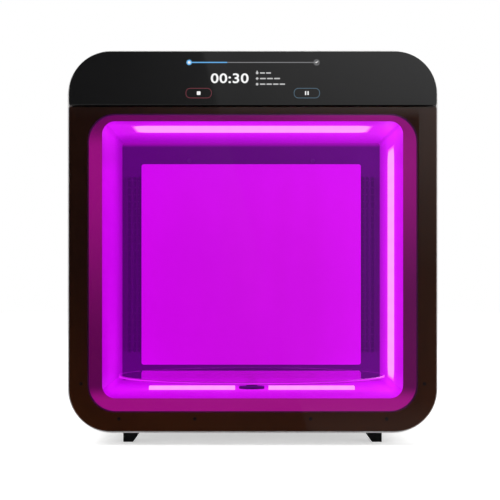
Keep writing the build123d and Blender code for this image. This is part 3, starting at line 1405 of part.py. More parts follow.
pivot_y = panel_back - pivot_depth
with BuildPart() as switch_bezel:
    with BuildSketch(facing_front(inlet_face, inlet_z)):
        with Locations((switch_x, 0)):
            RectangleRounded(switch_width, switch_height, switch_radius)
    extrude(amount=inlet_flange)
    with BuildSketch(facing_front(panel_back, inlet_z)):
        with Locations((switch_x, 0)):
            Rectangle(switch_cavity_width + 2 * socket_wall, switch_cavity_height + 2 * socket_wall)
    extrude(amount=switch_depth)
    with BuildSketch(facing_front(inlet_face, inlet_z)):
        with Locations((switch_x, 0)):
            Rectangle(switch_cavity_width, switch_cavity_height)
    extrude(amount=inlet_flange + switch_depth - socket_wall, mode=Mode.SUBTRACT)
    with Locations(Plane(origin=(switch_x, pivot_y, inlet_z), z_dir=(1, 0, 0))):
        Cylinder(pivot_radius + running_gap, switch_width, mode=Mode.SUBTRACT)
switch_bezel.part.label = "switch_bezel"
export_step(switch_bezel.part, "parts/switch_bezel.step")

# The rocker stands at its ON stop: its upper half is pressed in.
rocker_end = Plane(origin=(switch_x - rocker_width / 2, pivot_y, inlet_z), x_dir=(0, 1, 0),
                   z_dir=(1, 0, 0))
with BuildPart() as rocker_switch:
    with BuildSketch(rocker_end):
        Polygon((rocker_face, rocker_height / 2), (rocker_waist, 0), (rocker_face, -rocker_height / 2),
                (0, -rocker_height / 2), (-rocker_root, -rocker_root_height / 2),
                (-rocker_root, rocker_root_height / 2), (0, rocker_height / 2),
                rotation=rocker_tilt, align=None)
    extrude(amount=rocker_width)
    with Locations(Plane(origin=(switch_x, pivot_y, inlet_z), z_dir=(1, 0, 0))):
        Cylinder(pivot_radius, switch_cavity_width + socket_wall)
rocker_switch.part.label = "rocker_switch"
export_step(rocker_switch.part, "parts/rocker_switch.step")
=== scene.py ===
"""Look of a bench cabinet that cures printed dental parts with light.

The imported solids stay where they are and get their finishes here. What a solid can't
show is built on top of them: the picture on the display, domed emitters, curved fan
blades, a lipped door seal, quilted insulation, a wire gauze and the marks of the switch.
Sizes of pieces are in millimetres until a mesh is made, and places in a finish are in
metres. X runs to the right, the front faces -Y and Z is up.
"""

import json
import logging
import math
from collections.abc import Callable
from dataclasses import dataclass, field, replace
from enum import Enum
from functools import cached_property, lru_cache

import bmesh
import bpy
from mathutils import Matrix, Vector

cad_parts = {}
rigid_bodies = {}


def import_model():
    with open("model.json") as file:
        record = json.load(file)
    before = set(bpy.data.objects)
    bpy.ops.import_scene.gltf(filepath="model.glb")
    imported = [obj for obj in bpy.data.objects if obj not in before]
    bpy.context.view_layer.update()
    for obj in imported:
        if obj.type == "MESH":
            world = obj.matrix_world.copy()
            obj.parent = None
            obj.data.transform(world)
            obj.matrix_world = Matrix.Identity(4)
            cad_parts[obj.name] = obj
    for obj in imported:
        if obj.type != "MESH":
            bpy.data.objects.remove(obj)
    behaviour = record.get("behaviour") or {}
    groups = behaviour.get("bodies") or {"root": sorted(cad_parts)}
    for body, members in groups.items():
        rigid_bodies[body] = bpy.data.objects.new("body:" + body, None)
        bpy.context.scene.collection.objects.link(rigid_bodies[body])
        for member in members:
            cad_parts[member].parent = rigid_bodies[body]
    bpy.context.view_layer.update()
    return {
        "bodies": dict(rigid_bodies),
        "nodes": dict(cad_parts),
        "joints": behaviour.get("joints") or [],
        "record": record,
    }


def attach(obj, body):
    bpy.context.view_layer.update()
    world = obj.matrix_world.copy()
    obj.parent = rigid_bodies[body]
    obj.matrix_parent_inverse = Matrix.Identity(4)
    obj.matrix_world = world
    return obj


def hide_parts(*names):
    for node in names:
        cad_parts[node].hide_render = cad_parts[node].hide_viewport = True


MM = 0.001
MERGE = 1e-7  # corners closer than this, in metres, are one
TOUCH = 1e-6  # a point this close to a box, in metres, is inside it
QUARTER = math.radians(90)

# Numbers of the node recipes. A range is where a value starts and stops to count.
CELL_DEPTH = -0.7  # pebbles stand out of the noise between them
BAND_SCALE = 0.06  # bands of gloss to each drawn line
THREAD_WAVER = 0.6  # how unevenly the threads of a weave run
TRACE_COUNT = 5.0  # traces in each field of a board
TRACE_START = 0.72  # share of the pitch where a trace begins
GLOSS_RANGE = (0.3, 0.7)  # noise that moves the gloss
DRIFT_RANGE = (0.35, 0.65)  # noise that moves one colour to another
DUST_SLOPES = (0.55, 1.0)  # upward share of the normals that dust lies on
DUST_RANGE = (0.4, 0.7, 0.2, 1.0)  # noise that thins the dust, and how far
SPOT_RANGE = (0.1, 0.7, 1.0, 0.0)  # distance from an emitter over which its spot fades
PIXEL_RANGE = (0.36, 0.5)  # distance from a pixel's middle to its dark edge

LOG = logging.getLogger("curing_cabinet")

Colour = tuple[float, float, float]
Point2 = tuple[float, float]
Point3 = tuple[float, float, float]
Socket = bpy.types.NodeSocket
Sockets = bpy.types.bpy_prop_collection
Node = bpy.types.Node
Tree = bpy.types.NodeTree
Material = bpy.types.Material
Mesh = bpy.types.Mesh
Object = bpy.types.Object
Work = bmesh.types.BMesh
Loop = list[bmesh.types.BMVert]
Inputs = dict[str | int, object]

ORIGIN: Point3 = (0.0, 0.0, 0.0)
BLACK: Colour = (0.0, 0.0, 0.0)
WHITE: Colour = (1.0, 1.0, 1.0)


class Body(Enum):
    """Bodies of the frame that pieces ride on."""

    CABINET = "cabinet"
    DOOR = "door"
    EXHAUST_LEFT = "exhaust_fan_left"
    EXHAUST_RIGHT = "exhaust_fan_right"
    ROCKER = "power_rocker"


class Grain(Enum):
    """Fine relief of a surface."""

    PEBBLE = "pebble"
    DRAWN = "drawn"
    WOVEN = "woven"


class Room:
    """Places in the chamber that finishes and pieces share, in metres."""

    MIDDLE = (0.0, -0.014, 0.268)
    HALF = (0.2245, 0.30, 0.2065)  # half size, with the thickness of the sheets
    # Middle and half size of each lit cover.
    TOP = ((0.0, -0.089, 0.4705), (0.183, 0.069, 0.001))
    RIGHT = ((0.220, -0.019, 0.264), (0.001, 0.065, 0.1835))
    BARS = tuple(((x, -0.032, 0.0680), (0.0675, 0.013, 0.0025)) for x in (-0.094, 0.094))
    COVERS = (TOP, RIGHT, *BARS)
    # Middles of the zones round the air slots in the rear wall that get painted shade.
    SLOTS = ((-0.203, 0.211, 0.263), (0.203, 0.211, 0.263))


# ---------------------------------------------------------------------- node trees


class Wires:
    """Adds and joins the nodes of one tree."""

    def __init__(self, tree: Tree) -> None:
        """Keeps the tree that the nodes go into."""
        self.tree = tree

    def put(self, target: Socket, value: object) -> None:
        """Joins a socket to the target, or writes a plain value into it.

        Args:
            target: Input socket.
            value: Output socket, or a number, vector or colour.
        """
        if isinstance(value, Socket):
            self.tree.links.new(value, target)
        elif isinstance(value, tuple) and target.type == "RGBA":
            target.default_value = (*value[:3], 1.0)
        else:
            target.default_value = value

    def fill(self, sockets: Sockets, values: Inputs) -> None:
        """Writes values or sockets into inputs, by their names or numbers."""
        for name, value in values.items():
            self.put(sockets[name], value)

    def node(self, kind: str, inputs: Inputs | None = None, **settings: object) -> Node:
        """Adds a node.

        Args:
            kind: Blender's type name.
            inputs: Values or sockets by input name or number.
            **settings: Attributes of the node.

        Returns:
            The new node.
        """
        new = self.tree.nodes.new(kind)
        for name, value in settings.items():
            setattr(new, name, value)
        self.fill(new.inputs, inputs or {})
        return new

    def maths(self, operation: str, *values: object) -> Socket:
        """Returns the result of a Math node, for shader and geometry trees alike."""
        return self.node("ShaderNodeMath", dict(enumerate(values)), operation=operation).outputs[0]

    def vector(self, operation: str, *values: object) -> Socket:
        """Returns the vector result of a Vector Math node, or its single value."""
        new = self.node("ShaderNodeVectorMath", dict(enumerate(values)), operation=operation)
        return new.outputs["Value" if operation in ("LENGTH", "DOT_PRODUCT") else "Vector"]

    def blend(self, factor: object, first: object, second: object) -> Socket:
        """Returns the colour between two colours."""
        return self.node("ShaderNodeMix", {0: factor, 6: first, 7: second},
                         data_type="RGBA").outputs[2]

    def between(self, factor: object, first: object, second: object) -> Socket:
        """Returns the number between two numbers."""
        return self.node("ShaderNodeMix", {0: factor, 2: first, 3: second},
                         data_type="FLOAT").outputs[0]

    def remap(self, value: object, low: float, high: float, to_low: float = 0.0,
              to_high: float = 1.0, smooth: bool = False) -> Socket:
        """Returns a value moved from one range into another, and held inside it.

        Args:
            value: Number or its socket.
            low: Where the first range starts.
            high: Where the first range ends.
            to_low: Where the second range starts.
            to_high: Where the second range ends.
            smooth: Whether the value eases in and out.

        Returns:
            Socket of the moved value.
        """
        ends = dict(enumerate((value, low, high, to_low, to_high)))
        kind = "SMOOTHSTEP" if smooth else "LINEAR"
        return self.node("ShaderNodeMapRange", ends, clamp=True,
                         interpolation_type=kind).outputs["Result"]

    def place(self) -> Socket:
        """Returns the point of the object that is being coloured."""
        return self.node("ShaderNodeTexCoord").outputs["Object"]

    def split(self, vector: Socket) -> Sockets:
        """Returns the X, Y and Z of a vector."""
        return self.node("ShaderNodeSeparateXYZ", {0: vector}).outputs

    def noise(self, place: object, scale: object, detail: float, **more: float) -> Socket:
        """Returns the value of a noise texture."""
        inputs = {"Vector": place, "Scale": scale, "Detail": detail, **more}
        return self.node("ShaderNodeTexNoise", inputs).outputs[0]

    def past_box(self, place: object, centre: object, half: object) -> Socket:
        """Returns how far a point lies outside a box, along each axis."""
        away = self.vector("ABSOLUTE", self.vector("SUBTRACT", place, centre))
        return self.vector("MAXIMUM", self.vector("SUBTRACT", away, half), ORIGIN)


def add_inputs(tree: Tree, inputs: dict[str, object]) -> dict[str, str]:
    """Gives a tree its named inputs.

    Args:
        tree: Shader group or geometry tree.
        inputs: Default value by name. Its type says the kind of socket, and None stands
            for an object.

    Returns:
        The identifier of each socket by name.
    """
    kinds = {int: "NodeSocketInt", float: "NodeSocketFloat", type(None): "NodeSocketObject"}
    ids = {}
    for label, value in inputs.items():
        if isinstance(value, tuple):
            kind = "NodeSocketColor" if len(value) == 4 else "NodeSocketVector"
        else:
            kind = kinds[type(value)]
        socket = tree.interface.new_socket(name=label, in_out="INPUT", socket_type=kind)
        if value is not None:
            socket.default_value = value
        ids[label] = socket.identifier
    return ids


class ShaderGroup:
    """Shader node group that several finishes share, built at its first use."""

    def __init__(self, inputs: dict[str, object],
                 recipe: Callable[[Wires, Sockets], dict[str, Socket]]) -> None:
        """Keeps the default values of the inputs, and the function that fills the group."""
        self.inputs = inputs
        self.recipe = recipe

    @cached_property
    def tree(self) -> Tree:
        """The group's tree, which gives back what its function returns.

        Returns:
            The tree, with the group's inputs and outputs.
        """
        tree = bpy.data.node_groups.new(self.recipe.__name__, "ShaderNodeTree")
        add_inputs(tree, self.inputs)
        wires = Wires(tree)
        results = self.recipe(wires, wires.node("NodeGroupInput").outputs)
        for label, result in results.items():
            kind = "NodeSocketColor" if result.type == "RGBA" else "NodeSocketFloat"
            tree.interface.new_socket(name=label, in_out="OUTPUT", socket_type=kind)
        wires.node("NodeGroupOutput", results)
        return tree

    def __call__(self, wires: Wires, **values: object) -> Sockets:
        """Places the group in a material with its own values, and returns its outputs."""
        return wires.node("ShaderNodeGroup", values, node_tree=self.tree).outputs


def shader_group(**inputs: object) -> Callable[[Callable], ShaderGroup]:
    """Turns a function that fills a node group into that group.

    Args:
        **inputs: Default values of the group's inputs.

    Returns:
        What takes the function and returns the group.
    """
    return lambda recipe: ShaderGroup(inputs, recipe)


@shader_group(Scale=900.0, Blotches=9.0)
def pebble_grain(wires: Wires, given: Sockets) -> dict[str, Socket]:
    """Fills the group of fine pebbled relief with soft blotches.

    Args:
        wires: Wires of the group.
        given: The group's inputs.

    Returns:
        The height of the relief and its blotches, by name.
    """
    place = wires.place()
    cells = wires.node("ShaderNodeTexVoronoi", {"Vector": place, "Scale": given["Scale"]},
                       feature="SMOOTH_F1").outputs["Distance"]
    bumps = wires.noise(place, given["Scale"], 3.0)
    return {"Height": wires.maths("MULTIPLY_ADD", cells, CELL_DEPTH, bumps),
            "Blotch": wires.noise(place, given["Blotches"], 4.0)}


@shader_group(Scale=600.0, Stretch=(1.0, 1.0, 1.0))
def drawn_lines(wires: Wires, given: Sockets) -> dict[str, Socket]:
    """Fills the group of straight lines left by drawing or brushing.

    Args:
        wires: Wires of the group.
        given: The group's inputs.

    Returns:
        The height of the relief and its blotches, by name.
    """
    long = wires.vector("MULTIPLY", wires.place(), given["Stretch"])
    wide = wires.maths("MULTIPLY", given["Scale"], BAND_SCALE)
    return {"Height": wires.noise(long, given["Scale"], 5.0, Roughness=0.7),
            "Blotch": wires.noise(long, wide, 3.0)}


@shader_group(Scale=500.0, Blotches=12.0)
def plain_weave(wires: Wires, given: Sockets) -> dict[str, Socket]:
    """Fills the group of a plain weave of threads.

    Args:
        wires: Wires of the group.
        given: The group's inputs.

    Returns:
        The height of the relief and its blotches, by name.
    """
    place = wires.place()
    inputs = {"Vector": place, "Scale": given["Scale"], "Distortion": THREAD_WAVER}
    threads = [wires.node("ShaderNodeTexWave", inputs, bands_direction=axis).outputs["Fac"]
               for axis in ("Y", "Z")]
    return {"Height": wires.maths("MAXIMUM", *threads),
            "Blotch": wires.noise(place, given["Blotches"], 4.0)}


@shader_group(Colour=(0.5, 0.5, 0.5, 1.0), Second=(0.4, 0.4, 0.4, 1.0), Scale=7.0)
def colour_drift(wires: Wires, given: Sockets) -> dict[str, Socket]:
    """Fills the group that lets one colour drift towards another.

    Args:
        wires: Wires of the group.
        given: The group's inputs.

    Returns:
        The drifting colour, by name.
    """
    noise = wires.noise(wires.place(), given["Scale"], 5.0)
    share = wires.remap(noise, *DRIFT_RANGE, smooth=True)
    return {"Colour": wires.blend(share, given["Colour"], given["Second"])}


@shader_group(Amount=0.2, Patches=60.0)
def settled_dust(wires: Wires, given: Sockets) -> dict[str, Socket]:
    """Fills the group that masks the thin dust lying on faces that look up.

    Args:
        wires: Wires of the group.
        given: The group's inputs.

    Returns:
        The mask of the dust, by name.
    """
    normal = wires.node("ShaderNodeNewGeometry").outputs["Normal"]
    up = wires.remap(wires.split(normal)["Z"], *DUST_SLOPES)
    patchy = wires.remap(wires.noise(wires.place(), given["Patches"], 6.0), *DUST_RANGE)
    return {"Mask": wires.maths("MULTIPLY", wires.maths("MULTIPLY", up, patchy),
                                given["Amount"])}


@shader_group(Near=0.02, Far=0.15)
def panel_glow(wires: Wires, given: Sockets) -> dict[str, Socket]:
    """Fills the group that says how near a point lies to the light panels, by two reaches.

    Args:
        wires: Wires of the group.
        given: The group's inputs.

    Returns:
        Nearness from 0 to 1, by the name of its reach.
    """
    place = wires.place()
    sums: dict[str, object] = {"Near": 0.0, "Far": 0.0}
    for centre, half in Room.COVERS:
        distance = wires.vector("LENGTH", wires.past_box(place, centre, half))
        for name, total in sums.items():
            drop = wires.maths("MULTIPLY", wires.maths("DIVIDE", distance, given[name]), -1.0)
            sums[name] = wires.maths("ADD", total, wires.maths("EXPONENT", drop))
    return {name: wires.maths("MINIMUM", total, 1.0) for name, total in sums.items()}


@shader_group(Point=ORIGIN, Half=(1.0, 1.0, 1.0))
def inward_faces(wires: Wires, given: Sockets) -> dict[str, Socket]:
    """Fills the group that masks the faces that look at a point from within a box.

    Args:
        wires: Wires of the group.
        given: The group's inputs.

    Returns:
        The mask of those faces, by name.
    """
    coords = wires.node("ShaderNodeTexCoord").outputs
    way = wires.vector("SUBTRACT", given["Point"], coords["Object"])
    facing = wires.vector("DOT_PRODUCT", way, coords["Normal"])
    past = wires.vector("LENGTH", wires.past_box(coords["Object"], Room.MIDDLE, given["Half"]))
    return {"Mask": wires.maths("MULTIPLY", wires.maths("GREATER_THAN", facing, 0.0),
                                wires.maths("LESS_THAN", past, TOUCH))}


@shader_group(Centre=ORIGIN, Half=(1.0, 1.0, 1.0), Plane=(1.0, 1.0, 0.0), Corner=0.02, Soft=0.005)
def soft_zone(wires: Wires, given: Sockets) -> dict[str, Socket]:
    """Fills the group that masks a zone of a flat face, with rounded corners and soft edges.

    Args:
        wires: Wires of the group.
        given: The group's inputs.

    Returns:
        The share of the zone from 0 to 1, by name.
    """
    away = wires.vector("ABSOLUTE", wires.vector("SUBTRACT", wires.place(), given["Centre"]))
    past = wires.vector("ADD", wires.vector("SUBTRACT", away, given["Half"]), given["Corner"])
    past = wires.vector("MULTIPLY", wires.vector("MAXIMUM", past, ORIGIN), given["Plane"])
    reach = wires.maths("SUBTRACT", given["Corner"], wires.vector("LENGTH", past))
    share = wires.maths("DIVIDE", reach, given["Soft"])
    return {"Share": wires.remap(share, 0.0, 1.0, smooth=True)}


@shader_group(Scale=140.0)
def board_traces(wires: Wires, given: Sockets) -> dict[str, Socket]:
    """Fills the group that masks the copper traces of a circuit board.

    Args:
        wires: Wires of the group.
        given: The group's inputs.

    Returns:
        The mask of the traces, by name.
    """
    cells = wires.node("ShaderNodeTexVoronoi", {"Vector": wires.place(), "Scale": given["Scale"]},
                       feature="F1", distance="CHEBYCHEV").outputs["Distance"]
    wave = wires.maths("FRACT", wires.maths("MULTIPLY", cells, TRACE_COUNT))
    return {"Mask": wires.maths("GREATER_THAN", wave, TRACE_START)}


# ---------------------------------------------------------------------- finishes


def shine(wires: Wires, light: object, strength: object, towards: Point3 | None = None,
          half: Point3 = (1.0, 1.0, 1.0)) -> Inputs:
    """Returns what the shader needs to give off light.

    Args:
        wires: Wires of the material.
        light: Colour of the light, or its socket.
        strength: Strength of the light, or its socket.
        towards: Point that the lit faces look at, or None where all faces are lit.
        half: Half size of the box round the chamber's middle that the lit faces lie in.

    Returns:
        Values by the names of the shader's inputs.
    """
    if towards is not None:
        mask = inward_faces(wires, Point=towards, Half=half)["Mask"]
        light = wires.blend(mask, BLACK, light)
    return {"Emission Color": light, "Emission Strength": strength}


@dataclass(frozen=True)
class Finish:
    """One surface finish, with relief, drifting colour and uneven gloss.

    The grain scale is in cells per metre and the relief in metres.
    """

    name: str
    colour: Colour = BLACK
    second: Colour = BLACK
    rough: tuple[float, float] = (0.0, 0.0)
    metallic: float = 0.0
    grain: Grain = Grain.PEBBLE
    scale: float = 900.0
    relief: float = 0.00004
    bump: float = 0.35
    stretch: Point3 = (1.0, 1.0, 1.0)
    drift_scale: float = 7.0
    dust: float = 0.0
    dust_colour: Colour = (0.42, 0.41, 0.39)
    dust_rough: float = 0.5
    sheen: float = 0.0
    ior: float = 1.5
    specular: float = 0.5

    def texture(self, wires: Wires) -> Sockets:
        """Returns the height and the blotches of this finish's relief.

        Args:
            wires: Wires of the material.

        Returns:
            Outputs of the group that holds the relief.
        """
        if self.grain is Grain.DRAWN:
            return drawn_lines(wires, Scale=self.scale, Stretch=self.stretch)
        group = plain_weave if self.grain is Grain.WOVEN else pebble_grain
        return group(wires, Scale=self.scale)

    def drift(self, wires: Wires, first: object, second: object) -> Socket:
        """Returns a colour that drifts between two colours."""
        return colour_drift(wires, Colour=first, Second=second, Scale=self.drift_scale)["Colour"]

    def base_colour(self, wires: Wires) -> Socket:
        """Returns the colour of the clean surface."""
        return self.drift(wires, self.colour, self.second)

    def surface(self, wires: Wires) -> Inputs:
        """Wires the surface.

        Args:
            wires: Wires of the material.

        Returns:
            Sockets and plain values by the names of the shader's inputs.
        """
        texture = self.texture(wires)
        colour = self.base_colour(wires)
        rough = wires.remap(texture["Blotch"], *GLOSS_RANGE, *self.rough)
        if self.dust > 0.0:
            mask = settled_dust(wires, Amount=self.dust)["Mask"]
            colour = wires.blend(mask, colour, self.dust_colour)
            rough = wires.maths("MULTIPLY_ADD", mask, self.dust_rough, rough)
        bump = wires.node("ShaderNodeBump", {"Strength": self.bump, "Distance": self.relief,
                                             "Height": texture["Height"]})
        return {"Base Color": colour, "Roughness": rough, "Normal": bump.outputs["Normal"],
                "Metallic": self.metallic, "IOR": self.ior, "Sheen Weight": self.sheen,
                "Specular IOR Level": self.specular}

    @lru_cache(maxsize=None)
    def material(self) -> Material:
        """Returns the finish as a material, built at its first use.

        Returns:
            The material.
        """
        material = bpy.data.materials.new(self.name)
        material.use_nodes = True
        wires = Wires(material.node_tree)
        wires.fill(material.node_tree.nodes["Principled BSDF"].inputs, self.surface(wires))
        return material


@dataclass(frozen=True)
class GlassFinish(Finish):
    """Clear or tinted sheet glass with a faint drift in its tint."""

    def surface(self, wires: Wires) -> Inputs:
        """Wires the tint and leaves weight, gloss and index plain."""
        return {"Base Color": self.base_colour(wires), "Roughness": self.rough[0],
                "Transmission Weight": 1.0, "IOR": self.ior}


@dataclass(frozen=True)
class EdgeLitGlass(GlassFinish):
    """Clear glass disc with a painted glow at its rim for the light caught inside it."""

    rim_light: Colour = (0.45, 0.01, 1.0)
    strength: float = 1.03
    axis: Point3 = (0.0, -0.015, 0.0)
    rim: float = 0.2085

    def surface(self, wires: Wires) -> Inputs:
        """Wires the glass and the painted light at its rim.

        Args:
            wires: Wires of the material.

        Returns:
            Values by the names of the shader's inputs.
        """
        off_axis = wires.vector("SUBTRACT", wires.place(), self.axis)
        radius = wires.vector("LENGTH", wires.vector("MULTIPLY", off_axis, (1.0, 1.0, 0.0)))
        light = wires.blend(wires.maths("GREATER_THAN", radius, self.rim), BLACK, self.rim_light)
        return {**super().surface(wires), **shine(wires, light, self.strength)}


@dataclass(frozen=True)
class LitFinish(Finish):
    """Chamber metal with a painted glow for the light of the panels, most of it close to them.

    Its base colour is tinted violet with painted light. Only faces that look into the
    chamber have the painted glow. Where the bare metal's own colour is given, the faces that
    look out have it instead of the violet tint. The fold is a strip under the ceiling,
    between two heights, with brighter painted light. The zones round the air slots get
    painted shade: less of the painted light.
    """

    deep: Colour = BLACK
    lit: Colour = BLACK
    halo: Colour = BLACK
    strength: float = 1.0
    near_reach: float = 0.012
    far_reach: float = 0.16
    fold: Colour | None = None
    fold_rise: tuple[float, float] = (0.4625, 0.4700)
    outside: Colour | None = None
    outside_fade: float = 0.86
    shaded: tuple[Point3, ...] = ()
    shaded_half: Point3 = (0.0175, 1.0, 0.150)
    shaded_light: float = 0.66
    shaded_corner: float = 0.002
    shaded_edge: float = 0.003

    def base_colour(self, wires: Wires) -> Socket:
        """Returns the colour inside, tinted violet with painted light, and the bare metal's colour
        outside.

        Args:
            wires: Wires of the material.

        Returns:
            Socket of the colour.
        """
        # the inside colour is the violet tint of painted light
        inside = super().base_colour(wires)
        if self.outside is None:
            return inside
        mask = inward_faces(wires, Point=Room.MIDDLE, Half=Room.HALF)["Mask"]
        faded = tuple(share * self.outside_fade for share in self.outside)
        return wires.blend(mask, self.drift(wires, self.outside, faded), inside)

    def surface(self, wires: Wires) -> Inputs:
        """Wires the metal, and its painted glow by the distance to the panels.

        Args:
            wires: Wires of the material.

        Returns:
            Values by the names of the shader's inputs.
        """
        # painted glow of the chamber metal, brightest near the panels
        glow = panel_glow(wires, Near=self.near_reach, Far=self.far_reach)
        light = wires.blend(glow["Far"], self.deep, self.lit)
        light = wires.blend(glow["Near"], light, self.halo)
        # painted brighter light on the fold under the ceiling
        if self.fold is not None:
            height = wires.split(wires.place())["Z"]
            light = wires.blend(wires.remap(height, *self.fold_rise, smooth=True), light,
                                self.fold)
        # painted shade round the air slots: the painted light is dimmed there
        for middle in self.shaded:
            share = soft_zone(wires, Centre=middle, Half=self.shaded_half,
                              Plane=(1.0, 0.0, 1.0), Corner=self.shaded_corner,
                              Soft=self.shaded_edge)["Share"]
            dim = wires.vector("MULTIPLY", light, (self.shaded_light,) * 3)
            light = wires.blend(share, light, dim)
        return {**super().surface(wires),
                **shine(wires, light, self.strength, Room.MIDDLE, Room.HALF)}


@dataclass(frozen=True)
class PaneBackingFinish(Finish):
    """Frame behind the tinted pane: its dark brown face has painted light that rises to the right
    and the bottom, its sides stay black.
    """

    # Face colours at the left, the right and the bottom: painted light, dimmer at the left,
    # brighter at the right and the bottom.
    left: Colour = (0.040, 0.014, 0.004)
    right: Colour = (0.075, 0.030, 0.006)
    low: Colour = (0.110, 0.042, 0.010)
    sides: Colour = (0.012, 0.010, 0.010)
    half_width: float = 0.25
    warm_heights: tuple[float, float] = (0.26, 0.05)
    face_end: float = -0.2757
    fade: float = 0.88

    def base_colour(self, wires: Wires) -> Socket:
        """Returns the colour by place, with the painted light on the face.

        Args:
            wires: Wires of the material.

        Returns:
            Socket of the colour.
        """
        place = wires.split(wires.place())
        # painted light across the face, rising to the right and towards the bottom
        across = wires.remap(place["X"], -self.half_width, self.half_width)
        down = wires.remap(place["Z"], *self.warm_heights)
        face = wires.blend(down, wires.blend(across, self.left, self.right), self.low)
        worn = wires.vector("MULTIPLY", face, (self.fade,) * 3)
        front = wires.maths("LESS_THAN", place["Y"], self.face_end)
        return wires.blend(front, self.sides, self.drift(wires, face, worn))


@dataclass(frozen=True)
class BezelFinish(Finish):
    """Moulded bezel with painted light of the chamber, uneven round its four sides.

    Its back stays dark: the painted light is only on faces that look at a point ahead of the
    mouth. Each run is two places, then the share of bright painted light at each.
    """

    dim: Colour = (0.154, 0.002, 0.225)
    bright: Colour = (0.84, 0.015, 1.0)
    strength: float = 0.51
    ahead: Point3 = (0.0, -1.0, 0.268)
    left_run: tuple[float, ...] = (0.12, 0.42, 0.10, 0.86)
    right_run: tuple[float, ...] = (0.20, 0.42, 0.09, 0.72)
    top_run: tuple[float, ...] = (-0.05, 0.20, 0.20, 0.62)
    top_heights: tuple[float, float] = (0.43, 0.468)
    low_heights: tuple[float, float] = (0.085, 0.062)
    low_share: float = 0.95

    def surface(self, wires: Wires) -> Inputs:
        """Wires the plastic, and its painted glow by height and side.

        Args:
            wires: Wires of the material.

        Returns:
            Values by the names of the shader's inputs.
        """
        place = wires.split(wires.place())
        left = wires.remap(place["Z"], *self.left_run, smooth=True)
        right = wires.remap(place["Z"], *self.right_run, smooth=True)
        sides = wires.between(wires.maths("GREATER_THAN", place["X"], 0.0), left, right)
        top = wires.remap(place["X"], *self.top_run, smooth=True)
        at_top = wires.remap(place["Z"], *self.top_heights, smooth=True)
        at_low = wires.remap(place["Z"], *self.low_heights, smooth=True)
        share = wires.between(at_low, wires.between(at_top, sides, top), self.low_share)
        # painted chamber light on the bezel, uneven by side and height
        light = wires.blend(share, self.dim, self.bright)
        return {**super().surface(wires), **shine(wires, light, self.strength, self.ahead)}


@dataclass(frozen=True)
class LightFinish(Finish):
    """Opal cover lit from behind by rows of emitters, whose spots just show through.

    The pool of light has soft rounded ends, and the plane marks the two axes that it
    lies in.
    """

    light: Colour = (0.58, 0.32, 1.0)
    spot: Colour = (0.62, 0.36, 1.0)
    rim: Colour = (0.40, 0.02, 0.90)
    strength: float = 2.2
    spot_pitch: float = 0.024
    middle: Point3 = ORIGIN
    half: Point3 = (1.0, 1.0, 1.0)
    plane: Point3 = (1.0, 1.0, 0.0)
    corner: float = 0.024
    soft: float = 0.007
    all_round: bool = False

    def surface(self, wires: Wires) -> Inputs:
        """Wires the opal sheet and the light that comes through it.

        Args:
            wires: Wires of the material.

        Returns:
            Values by the names of the shader's inputs.
        """
        cells = wires.node("ShaderNodeTexVoronoi", {"Vector": wires.place(), "Randomness": 0.0,
                                                    "Scale": 1.0 / self.spot_pitch})
        share = wires.remap(cells.outputs["Distance"], *SPOT_RANGE, smooth=True)
        pool = soft_zone(wires, Centre=self.middle, Half=self.half, Plane=self.plane,
                         Corner=self.corner, Soft=self.soft)["Share"]
        light = wires.blend(pool, self.rim, wires.blend(share, self.light, self.spot))
        towards = None if self.all_round else Room.MIDDLE
        return {**super().surface(wires), **shine(wires, light, self.strength, towards)}


@dataclass(frozen=True)
class PictureFinish(Finish):
    """Lit part of the display's picture, with its fine raster of pixels."""

    rough: tuple[float, float] = (0.2, 0.2)
    strength: float = 1.0
    pixels: float = 5200.0
    unlit: Colour = (0.01, 0.01, 0.012)

    def surface(self, wires: Wires) -> Inputs:
        """Wires the picture's own light over a black face.

        Args:
            wires: Wires of the material.

        Returns:
            Values by the names of the shader's inputs.
        """
        raster = wires.node("ShaderNodeTexVoronoi", {"Vector": wires.place(), "Randomness": 0.0,
                                                     "Scale": self.pixels},
                            distance="CHEBYCHEV")
        share = wires.remap(raster.outputs["Distance"], *PIXEL_RANGE)
        light = wires.blend(share, self.colour, self.second)
        return {"Base Color": self.unlit, "Roughness": self.rough[0],
                **shine(wires, light, self.strength)}


@dataclass(frozen=True)
class BoardFinish(Finish):
    """Circuit board under solder mask, with its traces showing through."""

    trace: Colour = (0.10, 0.34, 0.16)

    def base_colour(self, wires: Wires) -> Socket:
        """Returns the colour of the mask and of the traces under it."""
        mask = board_traces(wires)["Mask"]
        return wires.blend(mask, super().base_colour(wires), self.trace)


# ---------------------------------------------------------------------- mesh work


def link(name: str, data: bpy.types.ID) -> Object:
    """Puts a new object with its data into the scene.

    Args:
        name: Name of the object.
        data: Mesh, curve, text, light or camera.

    Returns:
        The new object.
    """
    obj = bpy.data.objects.new(name, data)
    bpy.context.scene.collection.objects.link(obj)
    return obj


def final_mesh(obj: Object) -> Mesh:
    """Returns the final shape of an object as a plain mesh, and removes the object.

    Args:
        obj: Object with live modifiers, or a curve or text.

    Returns:
        The new mesh.
    """
    graph = bpy.context.evaluated_depsgraph_get()
    mesh = bpy.data.meshes.new_from_object(obj.evaluated_get(graph))
    bpy.data.objects.remove(obj)
    return mesh


def gathered(*meshes: Mesh) -> Work:
    """Returns several meshes as one that can be worked on.

    Args:
        *meshes: Meshes in place.

    Returns:
        A mesh with the faces of all of them.
    """
    work = bmesh.new()
    for mesh in meshes:
        work.from_mesh(mesh)
    return work


def mesh_from_bmesh(name: str, work: Work) -> Mesh:
    """Writes a bmesh out as a mesh whose faces point outwards.

    Args:
        name: Name of the mesh.
        work: Shape, which is freed.

    Returns:
        The new mesh.
    """
    bmesh.ops.remove_doubles(work, verts=work.verts, dist=MERGE)
    bmesh.ops.recalc_face_normals(work, faces=work.faces)
    mesh = bpy.data.meshes.new(name)
    work.to_mesh(mesh)
    work.free()
    return mesh


